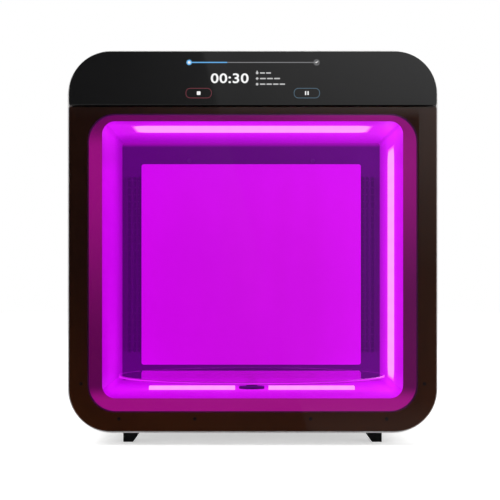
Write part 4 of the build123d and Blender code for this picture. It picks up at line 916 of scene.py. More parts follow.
def make_piece(name: str, shape: Work | Mesh, finish: Finish, body: Body,
               stands_for: tuple[str, ...] = (),
               smooth_below: float = 35.0) -> Object:
    """Turns a shape into a finished piece on its body.

    Args:
        name: Name of the piece.
        shape: Shape in place, in metres.
        finish: Surface finish.
        body: Body that the piece rides on.
        stands_for: Nodes of the frame that the piece replaces.
        smooth_below: Edges flatter than this many degrees are shaded smooth.

    Returns:
        The new object.
    """
    mesh = shape if isinstance(shape, Mesh) else mesh_from_bmesh(name, shape)
    mesh.materials.clear()
    mesh.materials.append(finish.material())
    obj = link(name, mesh)
    mesh.set_sharp_from_angle(angle=math.radians(smooth_below))
    mesh.polygons.foreach_set("use_smooth", [True] * len(mesh.polygons))
    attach(obj, body.value)
    if stands_for:
        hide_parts(*stands_for)
    LOG.info("%s: %d faces on %s", name, len(mesh.polygons), body.value)
    return obj


def circle(radius: float, x: float = 0.0, z: float = 0.0, steps: int = 32) -> list[Point2]:
    """Returns a round outline at a place."""
    angles = [2 * math.pi * step / steps for step in range(steps)]
    return [(x + radius * math.cos(angle), z + radius * math.sin(angle)) for angle in angles]


def rounded_outline(width: float, height: float, radius: float, x: float = 0.0, z: float = 0.0,
                    steps: int = 4) -> list[Point2]:
    """Returns the outline of a rounded rectangle at a place, anticlockwise.

    Args:
        width: Size along X.
        height: Size along Z.
        radius: Radius of the corners.
        x: X of the middle.
        z: Z of the middle.
        steps: Steps round each corner.

    Returns:
        X and Z of its points.
    """
    points = []
    for turn, (side, rise) in enumerate(((1, 1), (-1, 1), (-1, -1), (1, -1))):
        centre_x = x + side * (width / 2 - radius)
        centre_z = z + rise * (height / 2 - radius)
        for step in range(steps + 1):
            angle = QUARTER * (turn + step / steps)
            points.append((centre_x + radius * math.cos(angle),
                           centre_z + radius * math.sin(angle)))
    return points


def band(work: Work, first: Loop, second: Loop) -> None:
    """Joins two loops of equal length with a band of faces.

    Args:
        work: Mesh that holds the loops.
        first: Points of one loop.
        second: Points of the other loop, in the same order.
    """
    for index in range(len(first)):
        after = (index + 1) % len(first)
        work.faces.new((first[index], first[after], second[after], second[index]))


def close_sheets(work: Work, sheets: list[Loop], rows: int) -> None:
    """Covers two sheets of points with faces and closes their rim.

    Args:
        work: Mesh that holds the points.
        sheets: Points of each sheet, column after column.
        rows: Steps between the points of one column.
    """
    span = rows + 1
    columns = len(sheets[0]) // span - 1
    for sheet in sheets:
        for start in (i * span + j for i in range(columns) for j in range(rows)):
            work.faces.new([sheet[start + on] for on in (0, span, span + 1, 1)])
    rim = [i * span for i in range(columns)] + [columns * span + j for j in range(rows)]
    rim += [i * span + rows for i in range(columns, 0, -1)] + list(range(rows, 0, -1))
    band(work, *([sheet[corner] for corner in rim] for sheet in sheets))


@dataclass
class FrontPlates:
    """Thin flat shapes that face the front, gathered into one mesh."""

    front: float
    depth: float
    work: Work = field(default_factory=bmesh.new)

    def loops(self, *outlines: list[Point2]) -> list[Loop]:
        """Adds the corners of outlines at the front, then those at the back."""
        return [[self.work.verts.new((x * MM, y * MM, z * MM)) for x, z in outline]
                for y in (self.front, self.front + self.depth) for outline in outlines]

    def solid(self, outline: list[Point2]) -> None:
        """Adds a filled shape.

        Args:
            outline: X and Z of its corners.
        """
        near, far = self.loops(outline)
        self.work.faces.new(near)
        self.work.faces.new(far[::-1])
        band(self.work, near, far)

    def ring(self, outer: list[Point2], inner: list[Point2]) -> None:
        """Adds an open ring between two outlines of equal length.

        Args:
            outer: X and Z round its outside.
            inner: X and Z round its hole.
        """
        loops = self.loops(outer, inner)
        for first, second in ((0, 1), (2, 3), (0, 2), (1, 3)):
            band(self.work, loops[first], loops[second])

    def bar(self, left: float, right: float, z: float, height: float, corner: float) -> None:
        """Adds a rounded bar between two places."""
        self.solid(rounded_outline(right - left, height, corner, (left + right) / 2, z))


def lathe(profile: list[Point2], segments: int) -> Work:
    """Turns a closed profile of radius and height about the Z axis.

    Args:
        profile: Radius and height of its points.
        segments: Steps in a full turn.

    Returns:
        The turned shape.
    """
    work = bmesh.new()
    rings = [[work.verts.new((radius * MM * across, radius * MM * along, height * MM))
              for radius, height in profile] for across, along in circle(1.0, steps=segments)]
    for here, there in zip(rings, rings[1:] + rings[:1]):
        band(work, here, there)
    return work


class GeometryRecipe:
    """A Geometry Nodes tree with named inputs that makes one kind of repeated piece."""

    def __init__(self, name: str, inputs: dict[str, object]) -> None:
        """Opens the tree.

        Args:
            name: Name of the tree.
            inputs: Default value by name, or None for an object. A place is added to them.
        """
        self.name = name
        tree = bpy.data.node_groups.new(name, "GeometryNodeTree")
        self.ids = add_inputs(tree, {**inputs, "Place": ORIGIN})
        tree.interface.new_socket(name="Geometry", in_out="OUTPUT",
                                  socket_type="NodeSocketGeometry")
        self.wires = Wires(tree)
        self.given = self.wires.node("NodeGroupInput").outputs

    def step(self, kind: str, inputs: Inputs, output: str | int = 0,
             **settings: object) -> Socket:
        """Adds a geometry node and returns one of its outputs."""
        return self.wires.node(f"GeometryNode{kind}", inputs, **settings).outputs[output]

    def shape(self, name: str) -> Socket:
        """Returns the geometry of the object given under a name."""
        return self.step("ObjectInfo", {"Object": self.given[name]}, "Geometry")

    def join(self, *parts: Socket) -> Socket:
        """Returns several geometries as one.

        Args:
            *parts: Geometries to join.

        Returns:
            The joined geometry.
        """
        both = self.wires.node("GeometryNodeJoinGeometry")
        for part in parts:
            self.wires.put(both.inputs[0], part)
        return both.outputs[0]

    def close(self, geometry: Socket, finish: Finish, turn: object = ORIGIN) -> None:
        """Ends the tree in real geometry, turned and put in its place, with its material.

        Args:
            geometry: The finished geometry.
            finish: Its surface finish.
            turn: Its turn about each axis, or the socket of it.
        """
        placed = self.step("Transform", {"Geometry": geometry, "Rotation": turn,
                                         "Translation": self.given["Place"]})
        real = self.step("RealizeInstances", {"Geometry": placed})
        dressed = self.step("SetMaterial", {"Geometry": real, "Material": finish.material()})
        self.wires.node("NodeGroupOutput", {"Geometry": dressed})

    def bake(self, values: dict[str, object]) -> Mesh:
        """Runs the tree and returns its result as a plain mesh.

        Args:
            values: Values of the named inputs.

        Returns:
            A mesh in place.
        """
        host = link(self.name, bpy.data.meshes.new(self.name))
        modifier = host.modifiers.new(self.name, "NODES")
        modifier.node_group = self.wires.tree
        for label, value in values.items():
            modifier[self.ids[label]] = value
        return final_mesh(host)


# ---------------------------------------------------------------------- palette


class Palette:
    """Every finish of the cabinet: its two colours, its range of gloss, then its relief."""

    ALONG_Y = {"grain": Grain.DRAWN, "stretch": (1.0, 0.05, 1.0)}
    ALONG_Z = {"grain": Grain.DRAWN, "stretch": (1.0, 1.0, 0.05)}
    TURNED = {"grain": Grain.DRAWN, "stretch": (0.05, 0.05, 1.0), "scale": 1800.0}
    BARE: Colour = (0.60, 0.60, 0.62)

    SHELL = Finish("shell_powder_coat", (0.86, 0.855, 0.845), (0.835, 0.83, 0.82), (0.42, 0.52),
                   scale=1500.0, relief=0.00006, bump=0.30, drift_scale=4.0, dust=0.05,
                   dust_colour=(0.66, 0.65, 0.63))
    CHASSIS = Finish("chassis_coating", (0.30, 0.30, 0.31), (0.26, 0.26, 0.27), (0.45, 0.58),
                     scale=1400.0, relief=0.00006, dust=0.25)
    REAR = Finish("rear_panel_coating", (0.72, 0.715, 0.705), (0.69, 0.685, 0.675), (0.42, 0.55),
                  scale=1500.0, relief=0.00006, bump=0.30, dust=0.10)
    # Feet: black rubber made darker than bare rubber; painted shade is part of this black.
    FOOT = Finish("foot_moulded_rubber", (0.0075, 0.0075, 0.0078), (0.0105, 0.0105, 0.011),
                  (0.62, 0.80), scale=700.0, relief=0.00008, dust=0.05, specular=0.12)
    SCREW = Finish("zinc_screws", (0.60, 0.60, 0.62), (0.50, 0.50, 0.53), (0.28, 0.42),
                   metallic=1.0, grain=Grain.DRAWN, stretch=(1.0, 1.0, 0.2), scale=2500.0,
                   relief=0.00002)
    DARK_SCREW = Finish("blackened_screws", (0.016, 0.010, 0.008), (0.024, 0.014, 0.010),
                        (0.35, 0.5), metallic=0.4, scale=2500.0, relief=0.00002)
    FRAME = Finish("front_frame_plastic", (0.13, 0.115, 0.108), (0.115, 0.10, 0.095),
                   (0.45, 0.60), scale=1300.0, relief=0.00005, dust=0.08)
    TRAY = Finish("fascia_tray_plastic", (0.012, 0.012, 0.013), (0.016, 0.016, 0.017),
                  (0.45, 0.6), scale=1300.0, relief=0.00005, dust=0.03)
    # Door frame face: dark brown with painted light that rises to the right and the bottom.
    DOOR = PaneBackingFinish("door_frame_plastic", rough=(0.55, 0.70), scale=1300.0,
                             relief=0.00004, drift_scale=3.0, specular=0.2)
    DOOR_BACK = Finish("door_back_plastic", (0.030, 0.022, 0.020), (0.036, 0.026, 0.023),
                       (0.42, 0.58), scale=1300.0, relief=0.00005)
    # Bezel: dark plastic whose base colour is tinted magenta by painted chamber light, with a
    # painted glow.
    BEZEL = BezelFinish("mouth_bezel_plastic", (0.085, 0.006, 0.045), (0.075, 0.005, 0.040),
                        (0.34, 0.46), scale=1500.0, relief=0.00003, specular=0.15)
    SEAL = Finish("seal_extruded_rubber", (0.016, 0.016, 0.017), (0.022, 0.022, 0.023),
                  (0.55, 0.75), scale=900.0, relief=0.00005, sheen=0.10)
    MAGNET = Finish("nickel_plate", (0.66, 0.65, 0.62), (0.58, 0.57, 0.55), (0.12, 0.26),
                    metallic=1.0, scale=1800.0, relief=0.00001)
    HINGE = Finish("hinge_coating", (0.045, 0.045, 0.047), (0.055, 0.055, 0.058), (0.38, 0.52),
                   metallic=0.3, scale=1600.0, relief=0.00004)
    SENSOR = Finish("sensor_plastic", (0.07, 0.07, 0.075), (0.09, 0.09, 0.095), (0.35, 0.5),
                    scale=1500.0, relief=0.00003)
    PANE = GlassFinish("door_tinted_pane", (0.80, 0.51, 0.45), (0.79, 0.50, 0.44),
                       drift_scale=3.0, ior=1.49)
    FASCIA = Finish("fascia_black_glass", (0.0035, 0.0035, 0.0038), (0.0045, 0.0045, 0.0048),
                    (0.02, 0.045), scale=90.0, relief=0.000001, bump=0.05)
    DISPLAY = Finish("display_module", (0.008, 0.008, 0.010), (0.010, 0.010, 0.012),
                     (0.10, 0.18), scale=600.0, relief=0.00001)
    BOARD = BoardFinish("board_green_mask", (0.022, 0.15, 0.060), (0.018, 0.13, 0.052),
                        (0.25, 0.38), scale=900.0, relief=0.00003)
    WHITE_BOARD = Finish("board_white_mask", (0.78, 0.77, 0.79), (0.72, 0.71, 0.74),
                         (0.30, 0.42), scale=900.0, relief=0.00003)
    EMITTER = LightFinish("emitter_domed_lens", (0.70, 0.55, 0.78), (0.66, 0.50, 0.75),
                          (0.10, 0.18), scale=900.0, relief=0.00001, strength=1.2)
    OPAL_FLOOR = LightFinish("light_cover_opal_floor", (0.55, 0.46, 0.60), (0.52, 0.44, 0.58),
                             (0.30, 0.40), scale=1200.0, relief=0.00002, all_round=True)
    OPAL_TOP = replace(OPAL_FLOOR, name="light_cover_opal_top", all_round=False,
                       middle=Room.TOP[0], half=(0.183, 0.069, 1.0))
    OPAL_SIDE = replace(OPAL_TOP, name="light_cover_opal_side", middle=Room.RIGHT[0],
                        half=(1.0, 0.065, 0.1835), plane=(0.0, 1.0, 1.0))
    # Liner, floor pan and reflector: their violet base colours and glow are painted light of the
    # panels; BARE is the metal's own colour.
    LINER = LitFinish("chamber_bright_metal", (0.42, 0.020, 0.52), (0.37, 0.018, 0.47),
                      (0.34, 0.46), metallic=0.6, **ALONG_Y, scale=500.0, relief=0.00002,
                      bump=0.25, specular=0.1, deep=(0.112, 0.0, 0.285),
                      lit=(0.318, 0.0, 0.755), halo=(0.44, 0.014, 0.95), strength=1.7,
                      near_reach=0.045, outside=BARE)
    FLOOR_PAN = replace(LINER, name="chamber_floor_metal", rough=(0.55, 0.70), metallic=0.3,
                        specular=0.02, halo=(0.44, 0.010, 0.95), strength=2.0)
    REFLECTOR = replace(LINER, name="reflector_bright_metal", second=(0.38, 0.018, 0.48),
                        **ALONG_Z, deep=(0.445, 0.0, 1.0), lit=(0.455, 0.0, 1.0),
                        halo=(0.455, 0.0, 1.0), strength=1.41, near_reach=0.012)
    # Rear wall: violet base colour and glow are painted light, with a brighter painted fold and
    # painted shade round the slots.
    REAR_WALL = LitFinish("rear_wall_satin_metal", (0.085, 0.004, 0.12), (0.075, 0.004, 0.105),
                          (0.42, 0.55), metallic=0.3, **ALONG_Z, scale=400.0, relief=0.00003,
                          bump=0.3, specular=0.1, deep=(0.095, 0.0, 0.30), lit=(0.15, 0.0, 0.44),
                          halo=(0.16, 0.0, 0.46), far_reach=0.08, fold=(0.42, 0.0, 0.95),
                          outside=(0.50, 0.50, 0.51), shaded=Room.SLOTS)
    # Plenum: violet base colour and faint glow on its inside are a painted spill of the chamber's
    # light.
    PLENUM = LitFinish("plenum_violet_spill", (0.16, 0.05, 0.20), (0.13, 0.04, 0.17),
                       (0.40, 0.55), metallic=0.4, scale=900.0, relief=0.00003, specular=0.1,
                       deep=(0.072, 0.0, 0.235), lit=(0.08, 0.0, 0.265),
                       halo=(0.08, 0.0, 0.265), outside=(0.42, 0.42, 0.43))
    SINK = Finish("heatsink_aluminium", (0.66, 0.66, 0.68), (0.60, 0.60, 0.62), (0.28, 0.42),
                  metallic=1.0, **ALONG_Y, scale=700.0, relief=0.00003)
    STEEL = Finish("turned_steel", (0.58, 0.58, 0.60), (0.50, 0.50, 0.52), (0.20, 0.34),
                   metallic=1.0, **TURNED, relief=0.00002)
    # Turntable: clear glass with a painted glow at its rim.
    TABLE = EdgeLitGlass("turntable_clear_glass", (0.93, 0.97, 0.965), (0.92, 0.965, 0.96))
    # Hub: violet base colour and glow are painted chamber light.
    HUB = LitFinish("turntable_hub_satin", (0.10, 0.010, 0.15), (0.085, 0.008, 0.13),
                    (0.40, 0.52), metallic=0.3, **TURNED, relief=0.00002, specular=0.02,
                    deep=(0.06, 0.0, 0.26), lit=(0.08, 0.0, 0.33), halo=(0.09, 0.0, 0.35))
    FAN = Finish("fan_moulding", (0.020, 0.020, 0.022), (0.028, 0.028, 0.030), (0.35, 0.5),
                 scale=1500.0, relief=0.00004, dust=0.15)
    GUARD = Finish("guard_bright_wire", (0.72, 0.71, 0.70), (0.64, 0.63, 0.62), (0.16, 0.28),
                   metallic=1.0, scale=1800.0, relief=0.00001)
    GAUZE = Finish("gauze_steel_wire", (0.16, 0.16, 0.165), (0.12, 0.12, 0.125), (0.35, 0.5),
                   metallic=0.9, scale=2400.0, relief=0.00001)
    INLET = Finish("inlet_moulding", (0.022, 0.022, 0.023), (0.028, 0.028, 0.030), (0.35, 0.48),
                   scale=1400.0, relief=0.00004)
    CONTACT = Finish("plated_contacts", (0.76, 0.64, 0.38), (0.70, 0.58, 0.33), (0.22, 0.34),
                     metallic=1.0, **ALONG_Y, scale=2400.0, relief=0.00001)
    WOOL = Finish("insulation_facing", (0.70, 0.67, 0.58), (0.62, 0.59, 0.50), (0.75, 0.92),
                  grain=Grain.WOVEN, scale=420.0, relief=0.0002, bump=0.5, sheen=0.3)
    MARK = Finish("switch_white_mark", (0.80, 0.80, 0.79), (0.74, 0.74, 0.73), (0.40, 0.52),
                  scale=1500.0, relief=0.00001)
    WHITE_LIGHT = PictureFinish("picture_white", (0.93, 0.93, 0.93), (0.80, 0.80, 0.80))
    GREY_LIGHT = PictureFinish("picture_grey", (0.26, 0.26, 0.27), (0.20, 0.20, 0.21))
    TEXT_LIGHT = PictureFinish("picture_soft_white", (0.55, 0.55, 0.55), (0.45, 0.45, 0.45))
    BLUE_LIGHT = PictureFinish("picture_blue", (0.13, 0.45, 0.85), (0.10, 0.36, 0.72))
    DIM_BLUE = PictureFinish("picture_dim_blue", (0.085, 0.16, 0.22), (0.065, 0.12, 0.17))
    DIM_RED = PictureFinish("picture_dim_red", (0.19, 0.030, 0.045), (0.15, 0.024, 0.036))


# ---------------------------------------------------------------------- sub-assemblies


class SubAssembly:
    """Part of the cabinet: solids that get their finishes, and pieces that are made here."""

    WEARS: dict[Finish, str] = {}

    def build(self, frame: dict) -> None:
        """Dresses the solids and makes the pieces.
        """
        for finish, names in self.WEARS.items():
            for obj in (frame["nodes"][name] for name in names.split()):
                if not obj.material_slots:
                    obj.data.materials.append(finish.material())
                for slot in obj.material_slots:
                    slot.material = finish.material()
                LOG.info("%s: finished as %s", obj.name, finish.name)
        self.shape(frame)

    def shape(self, frame: dict) -> None:
        """Makes the pieces that the solids can't show."""


@dataclass
class Casing(SubAssembly):
    """Shell, chassis, feet, front frame and the seal round its opening."""

    WEARS = {
        Palette.SHELL: "outer_shell",
        Palette.CHASSIS: "base_plate liner_supports power_supply",
        Palette.REAR: "rear_panel",
        Palette.FOOT: "feet",
        Palette.SCREW: "foot_screws rear_screws hinge_screws",
        Palette.FRAME: "front_frame",
        Palette.BEZEL: "mouth_bezel",
        Palette.SEAL: "door_seal",
        Palette.MAGNET: "catch_magnets",
        Palette.SENSOR: "door_sensor",
        Palette.HINGE: "hinge_bracket_lower hinge_bracket_upper",
    }
    # One lip of the seal, as shares of its reach and rise, and the groove between both lips.
    LIP = ((1.0, 0.0), (1.0, 0.35), (0.8, 0.8), (0.5, 1.0), (0.2, 0.75))
    GROOVE = (0.0, 0.62)

    seal_width: float = 487.0
    seal_height: float = 441.0
    seal_radius: float = 44.5
    seal_middle: float = 263.0
    seal_back: float = -251.0
    lip_reach: float = 2.5
    lip_rise: float = 1.6
    corner_steps: int = 14

    def section(self) -> Object:
        """Returns the outline that the seal is drawn along its path with.

        Returns:
            A closed curve that lies in X and Y.
        """
        outline = [*self.LIP, self.GROOVE, *((-x, y) for x, y in reversed(self.LIP))]
        curve = bpy.data.curves.new("seal_section", "CURVE")
        curve.dimensions = "3D"
        spline = curve.splines.new("POLY")
        spline.points.add(len(outline) - 1)
        for point, (x, y) in zip(spline.points, outline):
            point.co = (x * self.lip_reach * MM, y * self.lip_rise * MM, 0.0, 1.0)
        spline.use_cyclic_u = True
        return link("seal_section", curve)

    def recipe(self) -> GeometryRecipe:
        """Returns the recipe of a strip along a rounded path.

        Returns:
            The recipe, with the size of the path and the section as inputs.
        """
        recipe = GeometryRecipe("seal_strip", {"Width": 0.4, "Height": 0.4, "Corner": 0.04,
                                               "Section": None})
        given = recipe.given
        box = recipe.step("CurvePrimitiveQuadrilateral", {"Width": given["Width"],
                                                          "Height": given["Height"]})
        path = recipe.step("FilletCurve", {"Curve": box, "Count": self.corner_steps,
                                           "Radius": given["Corner"]}, mode="POLY")
        strip = recipe.step("CurveToMesh", {"Curve": path,
                                            "Profile Curve": recipe.shape("Section")})
        recipe.close(strip, Palette.SEAL, (QUARTER, 0.0, 0.0))
        return recipe

    def shape(self, frame: dict) -> None:
        """Makes the seal.
        """
        section = self.section()
        mesh = self.recipe().bake({
            "Width": self.seal_width * MM, "Height": self.seal_height * MM,
            "Corner": self.seal_radius * MM, "Section": section,
            "Place": (0.0, self.seal_back * MM, self.seal_middle * MM)})
        bpy.data.objects.remove(section)
        make_piece("lipped_seal", gathered(mesh), Palette.SEAL, Body.CABINET,
                   stands_for=("door_seal",))


@dataclass
class Door(SubAssembly):
    """Tinted pane on its frame, with pins, plates and screws."""

    WEARS = {
        Palette.PANE: "door_glass",
        Palette.DOOR: "door_frame",
        Palette.DOOR_BACK: "door_back",
        Palette.DARK_SCREW: "door_screws",
        Palette.STEEL: "hinge_pins",
        Palette.MAGNET: "strike_plates door_magnet",
    }

    pane_back: float = -276.0
    back_slack: float = 0.05
    bond_depth: float = 0.03
    weld: float = 0.001

    def shape(self, frame: dict) -> None:
        """Makes the pane again, wetted onto its frame as a bonded pane is.
        """
        work = gathered(frame["nodes"]["door_glass"].data)
        bmesh.ops.remove_doubles(work, verts=work.verts, dist=self.weld * MM)
        for vert in work.verts:
            if vert.co.y > (self.pane_back - self.back_slack) * MM:
                vert.co.y += self.bond_depth * MM
        make_piece("bonded_pane", work, Palette.PANE, Body.DOOR,
                   stands_for=("door_glass",), smooth_below=0.5)


@dataclass
class Fascia(SubAssembly):
    """Black glass fascia with the picture of its touch display.

    A bar is given by its height and corner radius, and a ring by its two radii.
    """

    WEARS = {
        Palette.FASCIA: "fascia_glass",
        Palette.TRAY: "fascia_tray",
        Palette.DISPLAY: "touch_display",
        Palette.BOARD: "control_board",
    }
    TIMER = "00:30"
    TICK = ((-2.2, 0.2), (-1.4, 1.0), (-0.5, 0.1), (1.5, 2.2), (2.3, 1.4), (-0.5, -1.5))

    face: float = -280.0
    proud: float = 0.04
    sunk: float = 0.20
    mark_layer: float = 1.6
    line_z: float = 552.0
    line_left: float = -91.6
    line_middle: float = -36.6
    line_right: float = 91.9
    done_dot: float = 3.9
    done_gap: float = 3.5
    done_bar: Point2 = (1.6, 0.7)
    white_dot: float = 2.0
    end_ring: Point2 = (4.1, 3.2)
    rest_bar: Point2 = (1.0, 0.4)
    digits_x: float = -33.2
    digits_z: float = 522.1
    digits_height: float = 14.2
    digits_wide: float = 1.22
    digits_apart: float = 1.06
    digits_bold: float = 0.018
    digits_steps: int = 6
    status_rows: tuple[Point2, ...] = ((536.8, 26.4), (528.8, 39.3), (520.7, 46.5))
    icon_x: float = 6.3
    icon_radius: float = 1.9
    icon_steps: int = 20
    icon_peak: Point2 = (1.7, 1.4)
    diamond_radius: float = 2.3
    diamond_corners: int = 4
    word_x: float = 10.3
    word_bar: Point2 = (1.9, 0.8)
    word_gap: float = 1.6
    word_pitch: float = 9.0
    pill: Point3 = (37.5, 14.6, 6.6)
    pill_line: float = 0.75
    pill_steps: int = 10
    pill_x: float = 77.9
    pill_z: float = 507.8
    stop_side: float = 5.2
    stop_corner: float = 0.6
    sign_steps: int = 3
    pause_bar: Point3 = (1.8, 5.6, 0.4)
    pause_apart: float = 1.8

    def plates(self, layer: float = 1.0) -> FrontPlates:
        """Returns an empty set of plates that stand a hair ahead of the glass."""
        return FrontPlates(self.face - self.proud * layer, self.proud + self.sunk)

    @staticmethod
    def add(name: str, plates: FrontPlates, finish: Finish) -> None:
        """Makes one colour of the picture a piece."""
        make_piece(f"picture_{name}", plates.work, finish, Body.CABINET)

    def progress(self) -> None:
        """Makes the progress line with its dot and its end mark."""
        blue, grey, white = self.plates(), self.plates(), self.plates(self.mark_layer)
        blue.solid(circle(self.done_dot, self.line_left, self.line_z))
        blue.bar(self.line_left + self.done_gap, self.line_middle, self.line_z, *self.done_bar)
        self.add("progress_done", blue, Palette.BLUE_LIGHT)
        white.solid(circle(self.white_dot, self.line_left, self.line_z))
        white.solid([(self.line_right + x, self.line_z + z) for x, z in self.TICK])
        self.add("progress_marks", white, Palette.WHITE_LIGHT)
        grey.ring(*(circle(radius, self.line_right, self.line_z) for radius in self.end_ring))
        grey.bar(self.line_middle, self.line_right - self.end_ring[0], self.line_z,
                 *self.rest_bar)
        self.add("progress_rest", grey, Palette.GREY_LIGHT)

    def digits(self) -> None:
        """Makes the bold figures of the timer."""
        text = bpy.data.curves.new("timer_digits", "FONT")
        text.body = self.TIMER
        text.align_x = "CENTER"
        text.size = 1.0
        text.space_character = self.digits_apart
        text.offset = self.digits_bold
        text.resolution_u = self.digits_steps
        work = gathered(final_mesh(link("timer_digits", text)))
        heights = [vert.co.y for vert in work.verts]
        scale = self.digits_height / (max(heights) - min(heights))
        for vert in work.verts:
            vert.co = ((vert.co.x * scale * self.digits_wide + self.digits_x) * MM,
                       (self.face - self.proud) * MM,
                       ((vert.co.y - min(heights)) * scale + self.digits_z) * MM)
        bmesh.ops.remove_doubles(work, verts=work.verts, dist=MERGE)
        grown = bmesh.ops.extrude_face_region(work, geom=work.faces[:])
        fresh = [item for item in grown["geom"] if isinstance(item, bmesh.types.BMVert)]
        bmesh.ops.translate(work, verts=fresh, vec=(0.0, (self.proud + self.sunk) * MM, 0.0))
        make_piece("picture_timer_digits", work, Palette.WHITE_LIGHT, Body.CABINET)

    def status_lines(self) -> None:
        """Makes three short status lines, each a small icon and plain bars."""
        soft = self.plates()
        base, peak = self.icon_peak
        for row, (z, right) in enumerate(self.status_rows):
            icon = circle(self.icon_radius, self.icon_x, z, self.icon_steps)
            if row == 0:
                icon = [(x, up + peak if up > z + base else up) for x, up in icon]
            if row == 1:
                icon = circle(self.diamond_radius, self.icon_x, z, self.diamond_corners)
            soft.solid(icon)
            words = max(1, round((right - self.word_x) / self.word_pitch))
            step = (right - self.word_x + self.word_gap) / words
            for start in (self.word_x + word * step for word in range(words)):
                soft.bar(start, start + step - self.word_gap, z, *self.word_bar)
        self.add("status_lines", soft, Palette.TEXT_LIGHT)

    def pills(self) -> None:
        """Makes the two outlined buttons with their stop and pause signs."""
        width, height, corner = self.pill
        for x, finish, name in ((-self.pill_x, Palette.DIM_RED, "stop_button"),
                                (self.pill_x, Palette.DIM_BLUE, "pause_button")):
            plates = self.plates()
            plates.ring(*(rounded_outline(width - 2 * line, height - 2 * line, corner - line,
                                          x, self.pill_z, self.pill_steps)
                          for line in (0.0, self.pill_line)))
            self.add(name, plates, finish)
        signs = self.plates()
        signs.solid(rounded_outline(self.stop_side, self.stop_side, self.stop_corner,
                                    -self.pill_x, self.pill_z, self.sign_steps))
        for x in (self.pill_x - self.pause_apart, self.pill_x + self.pause_apart):
            signs.solid(rounded_outline(*self.pause_bar, x, self.pill_z, self.sign_steps))
        self.add("button_signs", signs, Palette.WHITE_LIGHT)

    def shape(self, frame: dict) -> None:
        """Draws the picture.
        """
        self.progress()
        self.digits()
        self.status_lines()
        self.pills()


@dataclass
class LightPanels(SubAssembly):
    """Covers, boards, heatsinks and the rows of domed emitters behind the covers."""

    WEARS = {
        Palette.OPAL_TOP: "light_cover_top",
        Palette.OPAL_SIDE: "light_cover_right",
        Palette.OPAL_FLOOR: "light_cover_floor",
        Palette.WHITE_BOARD: "led_boards",
        Palette.SINK: "heatsink_top heatsink_right heatsink_floor",
    }
    # Columns and rows of each cover's board, how far its face lies from the middle of the
    # cover, and its turn.
    BAR_BOARD = (5, 1, (0.0, 0.0, -14.4), (2 * QUARTER, 0.0, 0.0))
    BOARDS = ((15, 5, (0.0, 0.0, 11.9), ORIGIN),
              (15, 5, (11.9, 0.0, 0.0), (0.0, QUARTER, 0.0)), BAR_BOARD, BAR_BOARD)
    DOME_ANGLES = (90, 65, 40, 15, 0)

    pitch: float = 24.0
    package: float = 5.0
    package_height: float = 1.2
    dome_radius: float = 2.1
    dome_segments: int = 12

    def package_object(self) -> Object:
        """Returns one emitter: a square package with a domed lens towards -Z.

        Returns:
            The object, which the recipe copies onto its grid.
        """
        turns = [math.radians(angle) for angle in self.DOME_ANGLES]
        dome = [(self.dome_radius * math.cos(turn),
                 -self.package_height - self.dome_radius * math.sin(turn)) for turn in turns]
        work = lathe([*dome, (0.0, -self.package_height)], self.dome_segments)
        side, rise = self.package * MM, self.package_height * MM
        bmesh.ops.create_cube(work, size=1.0, matrix=Matrix.Translation((0, 0, -rise / 2))
                              @ Matrix.Diagonal((side, side, rise, 1.0)))
        return link("emitter_package", mesh_from_bmesh("emitter_package", work))

    @staticmethod
    def recipe() -> GeometryRecipe:
        """Returns the recipe of the rows of emitters on one board.

        Returns:
            The recipe, with the grid and the package as inputs.
        """
        recipe = GeometryRecipe("emitter_rows", {"Span X": 0.1, "Span Y": 0.1, "Columns": 5,
                                                 "Rows": 5, "Package": None, "Turn": ORIGIN})
        given = recipe.given
        grid = recipe.step("MeshGrid", {"Size X": given["Span X"], "Size Y": given["Span Y"],
                                        "Vertices X": given["Columns"],
                                        "Vertices Y": given["Rows"]})
        copies = recipe.step("InstanceOnPoints", {
            "Points": recipe.step("MeshToPoints", {"Mesh": grid}),
            "Instance": recipe.shape("Package")})
        recipe.close(copies, Palette.EMITTER, given["Turn"])
        return recipe

    def shape(self, frame: dict) -> None:
        """Makes the rows of emitters on every board.
        """
        recipe = self.recipe()
        package = self.package_object()
        meshes = []
        for (middle, _), (columns, rows, away, turn) in zip(Room.COVERS, self.BOARDS):
            place = tuple(part + step * MM for part, step in zip(middle, away))
            meshes.append(recipe.bake({
                "Span X": (columns - 1) * self.pitch * MM, "Columns": columns,
                "Span Y": (rows - 1) * self.pitch * MM, "Rows": rows,
                "Package": package, "Place": place, "Turn": turn}))
        bpy.data.objects.remove(package)
        make_piece("domed_emitters", gathered(*meshes), Palette.EMITTER, Body.CABINET,
                   stands_for=("led_emitters",))


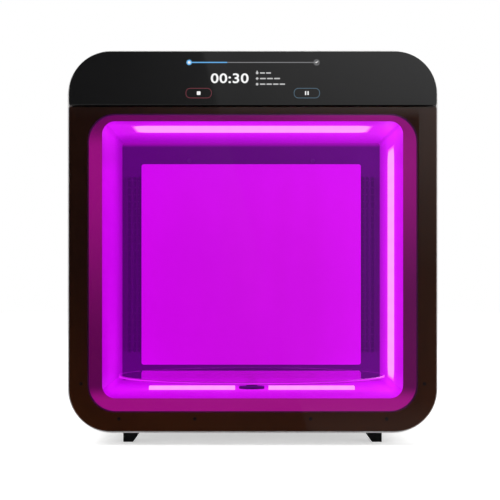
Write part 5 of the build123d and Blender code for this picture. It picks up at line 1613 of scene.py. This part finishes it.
@dataclass
class Chamber(SubAssembly):
    """Liner, rear wall, reflector and warm air parts in painted violet light; quilted insulation.
    """

    WEARS = {
        Palette.LINER: "liner_upper",
        Palette.FLOOR_PAN: "liner_floor_pan",
        Palette.REFLECTOR: "rear_reflector",
        Palette.REAR_WALL: "chamber_rear_wall",
        Palette.STEEL: "chamber_probe reflector_standoffs",
        Palette.FAN: "circulation_impeller circulation_motor",
        Palette.PLENUM: "duct_heaters plenum_duct rear_wall_screws",
        Palette.BOARD: "led_driver_board",
    }
    # Width, length, middle and quarter turns about Y of each mat.
    MATS = ((353.0, 398.0, (-226.8, -14.0, 268.0), 1), (388.0, 193.7, (0.0, 88.45, 477.3), 0))

    mat_thickness: float = 10.0
    quilt_pitch: float = 48.0
    stitch_depth: float = 3.4
    stitch_width: float = 5.0
    cell: float = 4.0

    def from_seam(self, share: float, size: float) -> float:
        """Returns how far a place lies from the nearest seam, across a mat of this size."""
        seams = max(1, round(size / self.quilt_pitch))
        return abs((share * seams + 0.5) % 1.0 - 0.5) * size / seams

    def mat(self, work: Work, width: float, length: float, place: Matrix) -> None:
        """Adds one quilted mat, flat in its own X and Y, with its thickness along Z.

        Args:
            work: Mesh that the mat goes into.
            width: Size along its X.
            length: Size along its Y.
            place: Where the mat's middle goes.
        """
        columns, rows = int(width / self.cell), int(length / self.cell)
        steps = [(i / columns, j / rows) for i in range(columns + 1) for j in range(rows + 1)]
        sheets = []
        for side in (1, -1):
            sheet = []
            for across, along in steps:
                off = min(self.from_seam(across, width), self.from_seam(along, length))
                pinch = math.exp(-(off / self.stitch_width) ** 2)
                height = side * (self.mat_thickness / 2 - self.stitch_depth * pinch)
                point = Vector((width * (across - 0.5), length * (along - 0.5), height))
                sheet.append(work.verts.new(place @ point * MM))
            sheets.append(sheet)
        close_sheets(work, sheets, rows)

    def shape(self, frame: dict) -> None:
        """Lays the insulation.
        """
        work = bmesh.new()
        for width, length, middle, turns in self.MATS:
            turn = Matrix.Rotation(turns * QUARTER, 4, "Y")
            self.mat(work, width, length, Matrix.Translation(middle) @ turn)
        pads = make_piece("quilted_insulation", work, Palette.WOOL, Body.CABINET,
                          stands_for=("insulation_pads",),
                          smooth_below=60.0)


@dataclass
class Turntable(SubAssembly):
    """Clear glass disc on its hub, with bearing and gearmotor."""

    WEARS = {
        Palette.TABLE: "turntable_glass",
        Palette.STEEL: "turntable_gearmotor",
        Palette.HUB: "turntable_hub turntable_bearing",
    }


@dataclass
class Rear(SubAssembly):
    """Exhaust fans, guards, gauze behind the vents, mains inlet and power switch.

    A blade's pitch in degrees and its chord are given at its root and at its tip.
    """

    WEARS = {
        Palette.FAN: "exhaust_fan_frames exhaust_rotor_left exhaust_rotor_right",
        Palette.GUARD: "fan_guards",
        Palette.INLET: "mains_inlet switch_bezel rocker_switch",
        Palette.CONTACT: "inlet_contacts",
    }

    # Rounded top edge of the rotor's hub: how far in from its rim, and down from its top.
    HUB_CROWN = ((0.0, 1.6), (0.6, 0.4), (1.8, 0.0))

    fan_x: float = 150.0
    fan_z: float = 516.5
    fan_face: float = 251.5
    rotor_depth: float = 16.0
    hub_radius: float = 18.0
    hub_foot: float = 0.8
    hub_dish: float = 14.0
    hub_dish_depth: float = 0.5
    hub_dish_slope: float = 0.6
    hub_web: float = 0.5
    hub_segments: int = 48
    bore_radius: float = 2.05
    blade_count: int = 7
    blade_reach: float = 37.0
    blade_root: float = 1.0
    blade_pitch: Point2 = (48.0, 28.0)
    blade_chord: Point2 = (17.0, 22.0)
    blade_camber: float = 1.6
    blade_sweep: float = 10.0
    blade_thickness: float = 1.3
    blade_taper: float = 0.6
    blade_gap: float = 0.6
    blade_steps: tuple[int, int] = (8, 10)
    vent_x: float = 120.0
    vent_z: float = 106.0
    gauze_y: float = 272.3
    gauze_width: float = 84.0
    gauze_height: float = 66.0
    gauze_pitch: float = 2.0
    wire_radius: float = 0.22
    wire_sides: int = 6
    switch_place: Point3 = (128.0, 273.0, 46.5)
    rocker_tilt: float = 12.0
    rocker_slope: float = 9.65
    rocker_waist: float = 1.8
    rocker_tip: float = 3.5
    rocker_half: float = 10.0
    mark_reach: float = 5.2
    mark_proud: float = 0.06
    mark_depth: float = 0.16
    mark_bar: Point3 = (1.0, 4.6, 0.3)
    mark_bar_steps: int = 3
    mark_ring: float = 2.3
    mark_ring_steps: int = 30
    mark_hole: float = 0.66

    def blade_point(self, span: float, chord: float, side: float) -> Point3:
        """Returns a point of the blade.

        Args:
            span: Share of the way from root to tip.
            chord: Place across the blade, from -1 to 1.
            side: Half a thickness to one side or the other.

        Returns:
            The point in metres, for a fan that turns about Z.
        """
        root = self.hub_radius - self.blade_root
        radius = root + (self.blade_reach - root) * span
        first, last = self.blade_pitch
        pitch = math.radians(first + (last - first) * span)
        first, last = self.blade_chord
        along = chord / 2 * (first + (last - first) * span)
        camber = self.blade_camber * (1.0 - chord ** 2)
        thick = self.blade_thickness * side * (1.0 - self.blade_taper * abs(chord))
        around = along * math.cos(pitch) - camber * math.sin(pitch)
        height = along * math.sin(pitch) + (camber + thick) * math.cos(pitch)
        angle = around / radius + math.radians(self.blade_sweep) * span
        limit = self.rotor_depth / 2 - self.blade_gap
        return (radius * math.cos(angle) * MM, radius * math.sin(angle) * MM,
                max(-limit, min(limit, height)) * MM)

    def blade_object(self) -> Object:
        """Returns one curved blade along +X, whose fan turns about Z.

        Returns:
            The object, which the recipe copies round the hub.
        """
        work = bmesh.new()
        spans, chords = self.blade_steps
        steps = [(i / spans, 2.0 * j / chords - 1.0)
                 for i in range(spans + 1) for j in range(chords + 1)]
        sheets = [[work.verts.new(self.blade_point(*step, side)) for step in steps]
                  for side in (0.5, -0.5)]
        close_sheets(work, sheets, chords)
        return link("fan_blade", mesh_from_bmesh("fan_blade", work))

    def hub_object(self) -> Object:
        """Returns the hub, closed and dished at its top, with the spindle's bore below.

        Returns:
            The object, whose axis is Z.
        """
        top, rim = self.rotor_depth / 2, self.hub_radius
        floor = top - self.hub_dish_depth
        below = floor - self.hub_web
        profile = [(self.bore_radius, -top), (rim - self.hub_foot, -top),
                   (rim, -top + self.hub_foot),
                   *((rim - inward, top - down) for inward, down in self.HUB_CROWN),
                   (self.hub_dish, top), (self.hub_dish - self.hub_dish_slope, floor),
                   (0.0, floor), (0.0, below), (self.bore_radius, below)]
        return link("fan_hub", mesh_from_bmesh("fan_hub", lathe(profile, self.hub_segments)))

    def build_rotors(self) -> None:
        """Makes both rotors of the exhaust fans."""
        recipe = GeometryRecipe("fan_rotor", {"Blades": self.blade_count, "Blade": None,
                                              "Hub": None})
        wires, blades = recipe.wires, recipe.given["Blades"]
        turn = wires.maths("MULTIPLY", recipe.step("InputIndex", {}),
                           wires.maths("DIVIDE", 4 * QUARTER, blades))
        copies = recipe.step("InstanceOnPoints", {
            "Points": recipe.step("Points", {"Count": blades}), "Instance": recipe.shape("Blade"),
            "Rotation": wires.node("ShaderNodeCombineXYZ", {"Z": turn}).outputs[0]})
        recipe.close(recipe.join(copies, recipe.shape("Hub")), Palette.FAN, (-QUARTER, 0.0, 0.0))
        helpers = {"Blade": self.blade_object(), "Hub": self.hub_object()}
        middle = self.fan_face + self.rotor_depth / 2
        for x, side, body in ((-self.fan_x, "left", Body.EXHAUST_LEFT),
                              (self.fan_x, "right", Body.EXHAUST_RIGHT)):
            mesh = recipe.bake({"Blades": self.blade_count, **helpers,
                                "Place": (x * MM, middle * MM, self.fan_z * MM)})
            make_piece(f"bladed_rotor_{side}", mesh, Palette.FAN, body,
                       stands_for=(f"exhaust_rotor_{side}",))
        for helper in helpers.values():
            bpy.data.objects.remove(helper)

    def gauze_recipe(self) -> GeometryRecipe:
        """Returns the recipe of a sheet of gauze, with one layer of wires each way.

        Returns:
            The recipe, with the sizes of the sheet and its wire as inputs.
        """
        recipe = GeometryRecipe("wire_gauze", {"Width": 0.1, "Height": 0.1, "Pitch": 0.002,
                                               "Wire": 0.0002})
        wires, given = recipe.wires, recipe.given
        layers = []
        for across, along, axis, turn, layer in (
                ("Width", "Height", "X", ORIGIN, 1.0),
                ("Height", "Width", "Z", (0.0, QUARTER, 0.0), -1.0)):
            gaps = wires.maths("FLOOR", wires.maths("DIVIDE", given[across], given["Pitch"]))
            begin = wires.node("ShaderNodeCombineXYZ", {
                axis: wires.maths("MULTIPLY", given[across], -0.5),
                "Y": wires.maths("MULTIPLY", given["Wire"], layer)})
            step = wires.node("ShaderNodeCombineXYZ", {axis: given["Pitch"]})
            row = recipe.step("MeshLine", {"Count": wires.maths("ADD", gaps, 1.0),
                                           "Start Location": begin.outputs[0],
                                           "Offset": step.outputs[0]})
            wire = recipe.step("MeshCylinder", {"Vertices": self.wire_sides,
                                                "Radius": given["Wire"],
                                                "Depth": given[along]})
            layers.append(recipe.step("InstanceOnPoints", {"Points": row, "Instance": wire,
                                                           "Rotation": turn}))
        recipe.close(recipe.join(*layers), Palette.GAUZE)
        return recipe

    def build_gauze(self) -> None:
        """Makes the wire gauze behind both groups of vents."""
        recipe = self.gauze_recipe()
        meshes = [recipe.bake({"Width": self.gauze_width * MM, "Height": self.gauze_height * MM,
                               "Pitch": self.gauze_pitch * MM, "Wire": self.wire_radius * MM,
                               "Place": (x * MM, self.gauze_y * MM, self.vent_z * MM)})
                  for x in (-self.vent_x, self.vent_x)]
        make_piece("vent_gauze", gathered(*meshes), Palette.GAUZE, Body.CABINET)

    def build_marks(self) -> None:
        """Makes the bar and the ring on the two halves of the rocker."""
        bar, ring = (FrontPlates(-self.mark_proud, self.mark_depth) for _ in range(2))
        bar.solid(rounded_outline(*self.mark_bar, steps=self.mark_bar_steps))
        ring.ring(*(circle(self.mark_ring * share, steps=self.mark_ring_steps)
                    for share in (1.0, self.mark_hole)))
        rise = (self.rocker_tip - self.rocker_waist) / self.rocker_half
        out = self.rocker_waist + rise * self.mark_reach
        place = Matrix.Translation(Vector(self.switch_place) * MM)
        tilt = Matrix.Rotation(math.radians(self.rocker_tilt), 4, "X")
        marks = []
        for half, plates in ((1, bar), (-1, ring)):
            # Each half face stands out further towards its end, so it leans back to the waist.
            slope = Matrix.Rotation(math.radians(-half * self.rocker_slope), 4, "X")
            shift = Matrix.Translation((0.0, out * MM, half * self.mark_reach * MM))
            mesh = mesh_from_bmesh("rocker_mark", plates.work)
            mesh.transform(place @ tilt @ shift @ slope @ Matrix.Rotation(2 * QUARTER, 4, "Z"))
            marks.append(mesh)
        make_piece("rocker_marks", gathered(*marks), Palette.MARK, Body.ROCKER)

    def shape(self, frame: dict) -> None:
        """Makes the finer pieces of the rear.
        """
        self.build_rotors()
        self.build_gauze()
        self.build_marks()


# ---------------------------------------------------------------------- studio


@dataclass(frozen=True)
class Lamp:
    """Soft square lamp. Its place and size are in metres."""

    name: str
    place: Point3
    size: float
    watts: float


@dataclass(frozen=True)
class FloorFinish(Finish):
    """Plain white floor, lifted towards white where the camera sees it."""

    colour: Colour = (0.93, 0.93, 0.93)
    rough: tuple[float, float] = (0.9, 0.9)
    specular: float = 0.0
    lift: float = 0.5

    def surface(self, wires: Wires) -> Inputs:
        """Wires the lift, and leaves the rest plain.

        Args:
            wires: Wires of the material.

        Returns:
            Values by the names of the shader's inputs.
        """
        seen = wires.node("ShaderNodeLightPath").outputs["Is Camera Ray"]
        return {"Base Color": self.colour, "Roughness": self.rough[0],
                "Specular IOR Level": self.specular,
                **shine(wires, WHITE, wires.maths("MULTIPLY", seen, self.lift))}


@dataclass(frozen=True)
class Card:
    """Card behind the camera that only reflections see.

    Its corners are X and Z. Left and right are an X with the brightness there, and a
    greater power makes the brightness rise later between them. The fall is the share of
    light at each height, from low to high. A card can hang ahead of the others.
    """

    name: str
    corners: tuple[Point2, ...]
    left: Point2
    right: Point2
    power: float
    fall: tuple[Point2, ...]
    forward: float = 0.0

    def material(self) -> Material:
        """Returns the card's light.

        Returns:
            The material, which only gives off light.
        """
        material = bpy.data.materials.new(f"{self.name}_light")
        material.use_nodes = True
        material.node_tree.nodes.clear()
        wires = Wires(material.node_tree)
        place = wires.split(wires.place())
        run = wires.remap(place["X"], self.left[0] * MM, self.right[0] * MM)
        across = wires.remap(wires.maths("POWER", run, self.power), 0.0, 1.0, self.left[1],
                             self.right[1])
        share: object = self.fall[0][1]
        for (low, first), (high, second) in zip(self.fall, self.fall[1:]):
            step = wires.remap(place["Z"], low * MM, high * MM, 0.0, second - first)
            share = wires.maths("ADD", share, step)
        light = wires.node("ShaderNodeEmission",
                           {"Strength": wires.maths("MULTIPLY", across, share)})
        wires.node("ShaderNodeOutputMaterial", {"Surface": light.outputs[0]})
        return material


@dataclass
class Studio:
    """Floor, reflection cards, lamps, world and camera."""

    LAMPS = (Lamp("key_lamp", (-1.9, -2.6, 2.7), 1.8, 42.0),
             Lamp("fill_lamp", (2.4, -2.2, 1.6), 1.6, 22.0),
             Lamp("rear_lamp", (0.8, 3.0, 2.4), 1.8, 36.0))
    # The dark and the pale card meet along a line that slants from (TOP_X, TOP) to (LOW_X, LOW).
    TOP, LOW, TOP_X, LOW_X, REACH = 2500.0, -4500.0, -566.7, 1361.0, 4200.0
    CARDS = (Card("dark_card", ((-REACH, LOW), (LOW_X, LOW), (TOP_X, TOP), (-REACH, TOP)),
                  (-650.0, 0.08), (0.0, 0.42), 2.0,
                  ((-250.0, 0.10), (735.0, 0.30), (775.0, 0.90), (930.0, 1.0))),
             Card("pale_card", ((LOW_X, LOW), (REACH, LOW), (REACH, TOP), (TOP_X, TOP)),
                  (0.0, 0.60), (600.0, 1.0), 1.0,
                  ((-230.0, 0.25), (-150.0, 0.10), (735.0, 0.14), (775.0, 0.82), (930.0, 1.0))),
             Card("side_card", ((543.0, 250.0), (900.0, 250.0), (900.0, 765.0), (543.0, 765.0)),
                  (543.0, 1.0), (900.0, 1.0), 1.0,
                  ((250.0, 0.12), (480.0, 0.32), (745.0, 0.66), (765.0, 0.72)), forward=10.0))

    floor_half: float = 8.0
    floor_under: float = 0.0002
    world_light: float = 0.62
    card_y: float = -3400.0
    lamp_aim: Point3 = (0.0, 0.0, 0.28)
    camera_place: Point3 = (-15.5, -2895.0, 250.2)
    lens: float = 130.75
    sensor: float = 36.0
    shift: Point2 = (0.016, 0.044)
    clip: Point2 = (0.05, 60.0)

    @staticmethod
    def sheet(name: str, corners: list[Point3], material: Material, *unseen_by: str) -> None:
        """Hangs a flat sheet in the studio.

        Args:
            name: Name of the sheet.
            corners: Its corners, in metres.
            material: Its material.
            *unseen_by: Kinds of ray that don't see it.
        """
        work = bmesh.new()
        work.faces.new([work.verts.new(corner) for corner in corners])
        mesh = mesh_from_bmesh(name, work)
        mesh.materials.append(material)
        obj = link(name, mesh)
        for ray in unseen_by:
            setattr(obj, f"visible_{ray}", False)

    def floor(self) -> None:
        """Lays the white floor."""
        corners = [(x * self.floor_half, y * self.floor_half, -self.floor_under)
                   for x, y in ((-1, -1), (1, -1), (1, 1), (-1, 1))]
        self.sheet("studio_floor", corners, FloorFinish("studio_floor_white").material(),
                   "glossy", "transmission")

    def cards(self) -> None:
        """Hangs a dark card, a pale card beside it and a strip at the side."""
        for card in self.CARDS:
            y = (self.card_y + card.forward) * MM
            corners = [(x * MM, y, z * MM) for x, z in card.corners]
            self.sheet(card.name, corners, card.material(), "camera", "diffuse",
                       "volume_scatter", "shadow")

    def lamps(self) -> None:
        """Hangs the lamps, which look at the cabinet."""
        for lamp in self.LAMPS:
            light = bpy.data.lights.new(lamp.name, "AREA")
            light.shape = "SQUARE"
            light.size = lamp.size
            light.energy = lamp.watts
            obj = link(lamp.name, light)
            obj.location = lamp.place
            aim = Vector(self.lamp_aim) - Vector(lamp.place)
            obj.rotation_euler = aim.to_track_quat("-Z", "Y").to_euler()
            for ray in ("glossy", "transmission", "camera"):
                setattr(obj, f"visible_{ray}", False)

    def world(self) -> None:
        """Makes the plain white surroundings, dimmer as a source of light."""
        world = bpy.data.worlds.new("studio_world")
        bpy.context.scene.world = world
        world.use_nodes = True
        wires = Wires(world.node_tree)
        back = world.node_tree.nodes["Background"].inputs
        rays = wires.node("ShaderNodeLightPath").outputs
        seen = wires.maths("MAXIMUM", rays["Is Camera Ray"], rays["Is Glossy Ray"])
        seen = wires.maths("MAXIMUM", seen, rays["Is Transmission Ray"])
        wires.fill(back, {"Color": WHITE,
                          "Strength": wires.remap(seen, 0.0, 1.0, self.world_light, 1.0)})

    def camera(self) -> None:
        """Sets up the camera, level and looking along +Y."""
        data = bpy.data.cameras.new("studio_camera")
        data.lens = self.lens
        data.sensor_width = self.sensor
        data.shift_x, data.shift_y = self.shift
        data.clip_start, data.clip_end = self.clip
        obj = link("studio_camera", data)
        obj.location = Vector(self.camera_place) * MM
        obj.rotation_euler = (QUARTER, 0.0, 0.0)
        bpy.context.scene.camera = obj

    def build(self) -> None:
        """Builds the studio."""
        self.camera()
        self.floor()
        self.cards()
        self.world()
        self.lamps()
        bpy.context.scene.view_settings.view_transform = "Standard"


def main() -> None:
    """Loads the frame, builds every sub-assembly on it and sets up the studio."""
    logging.basicConfig(level=logging.INFO, format="%(name)s %(message)s")
    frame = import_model()
    Studio().build()
    for part in (Casing(), Door(), Fascia(), LightPanels(), Chamber(), Turntable(), Rear()):
        LOG.info("building %s", type(part).__name__)
        part.build(frame)


if __name__ == "__main__":
    main()
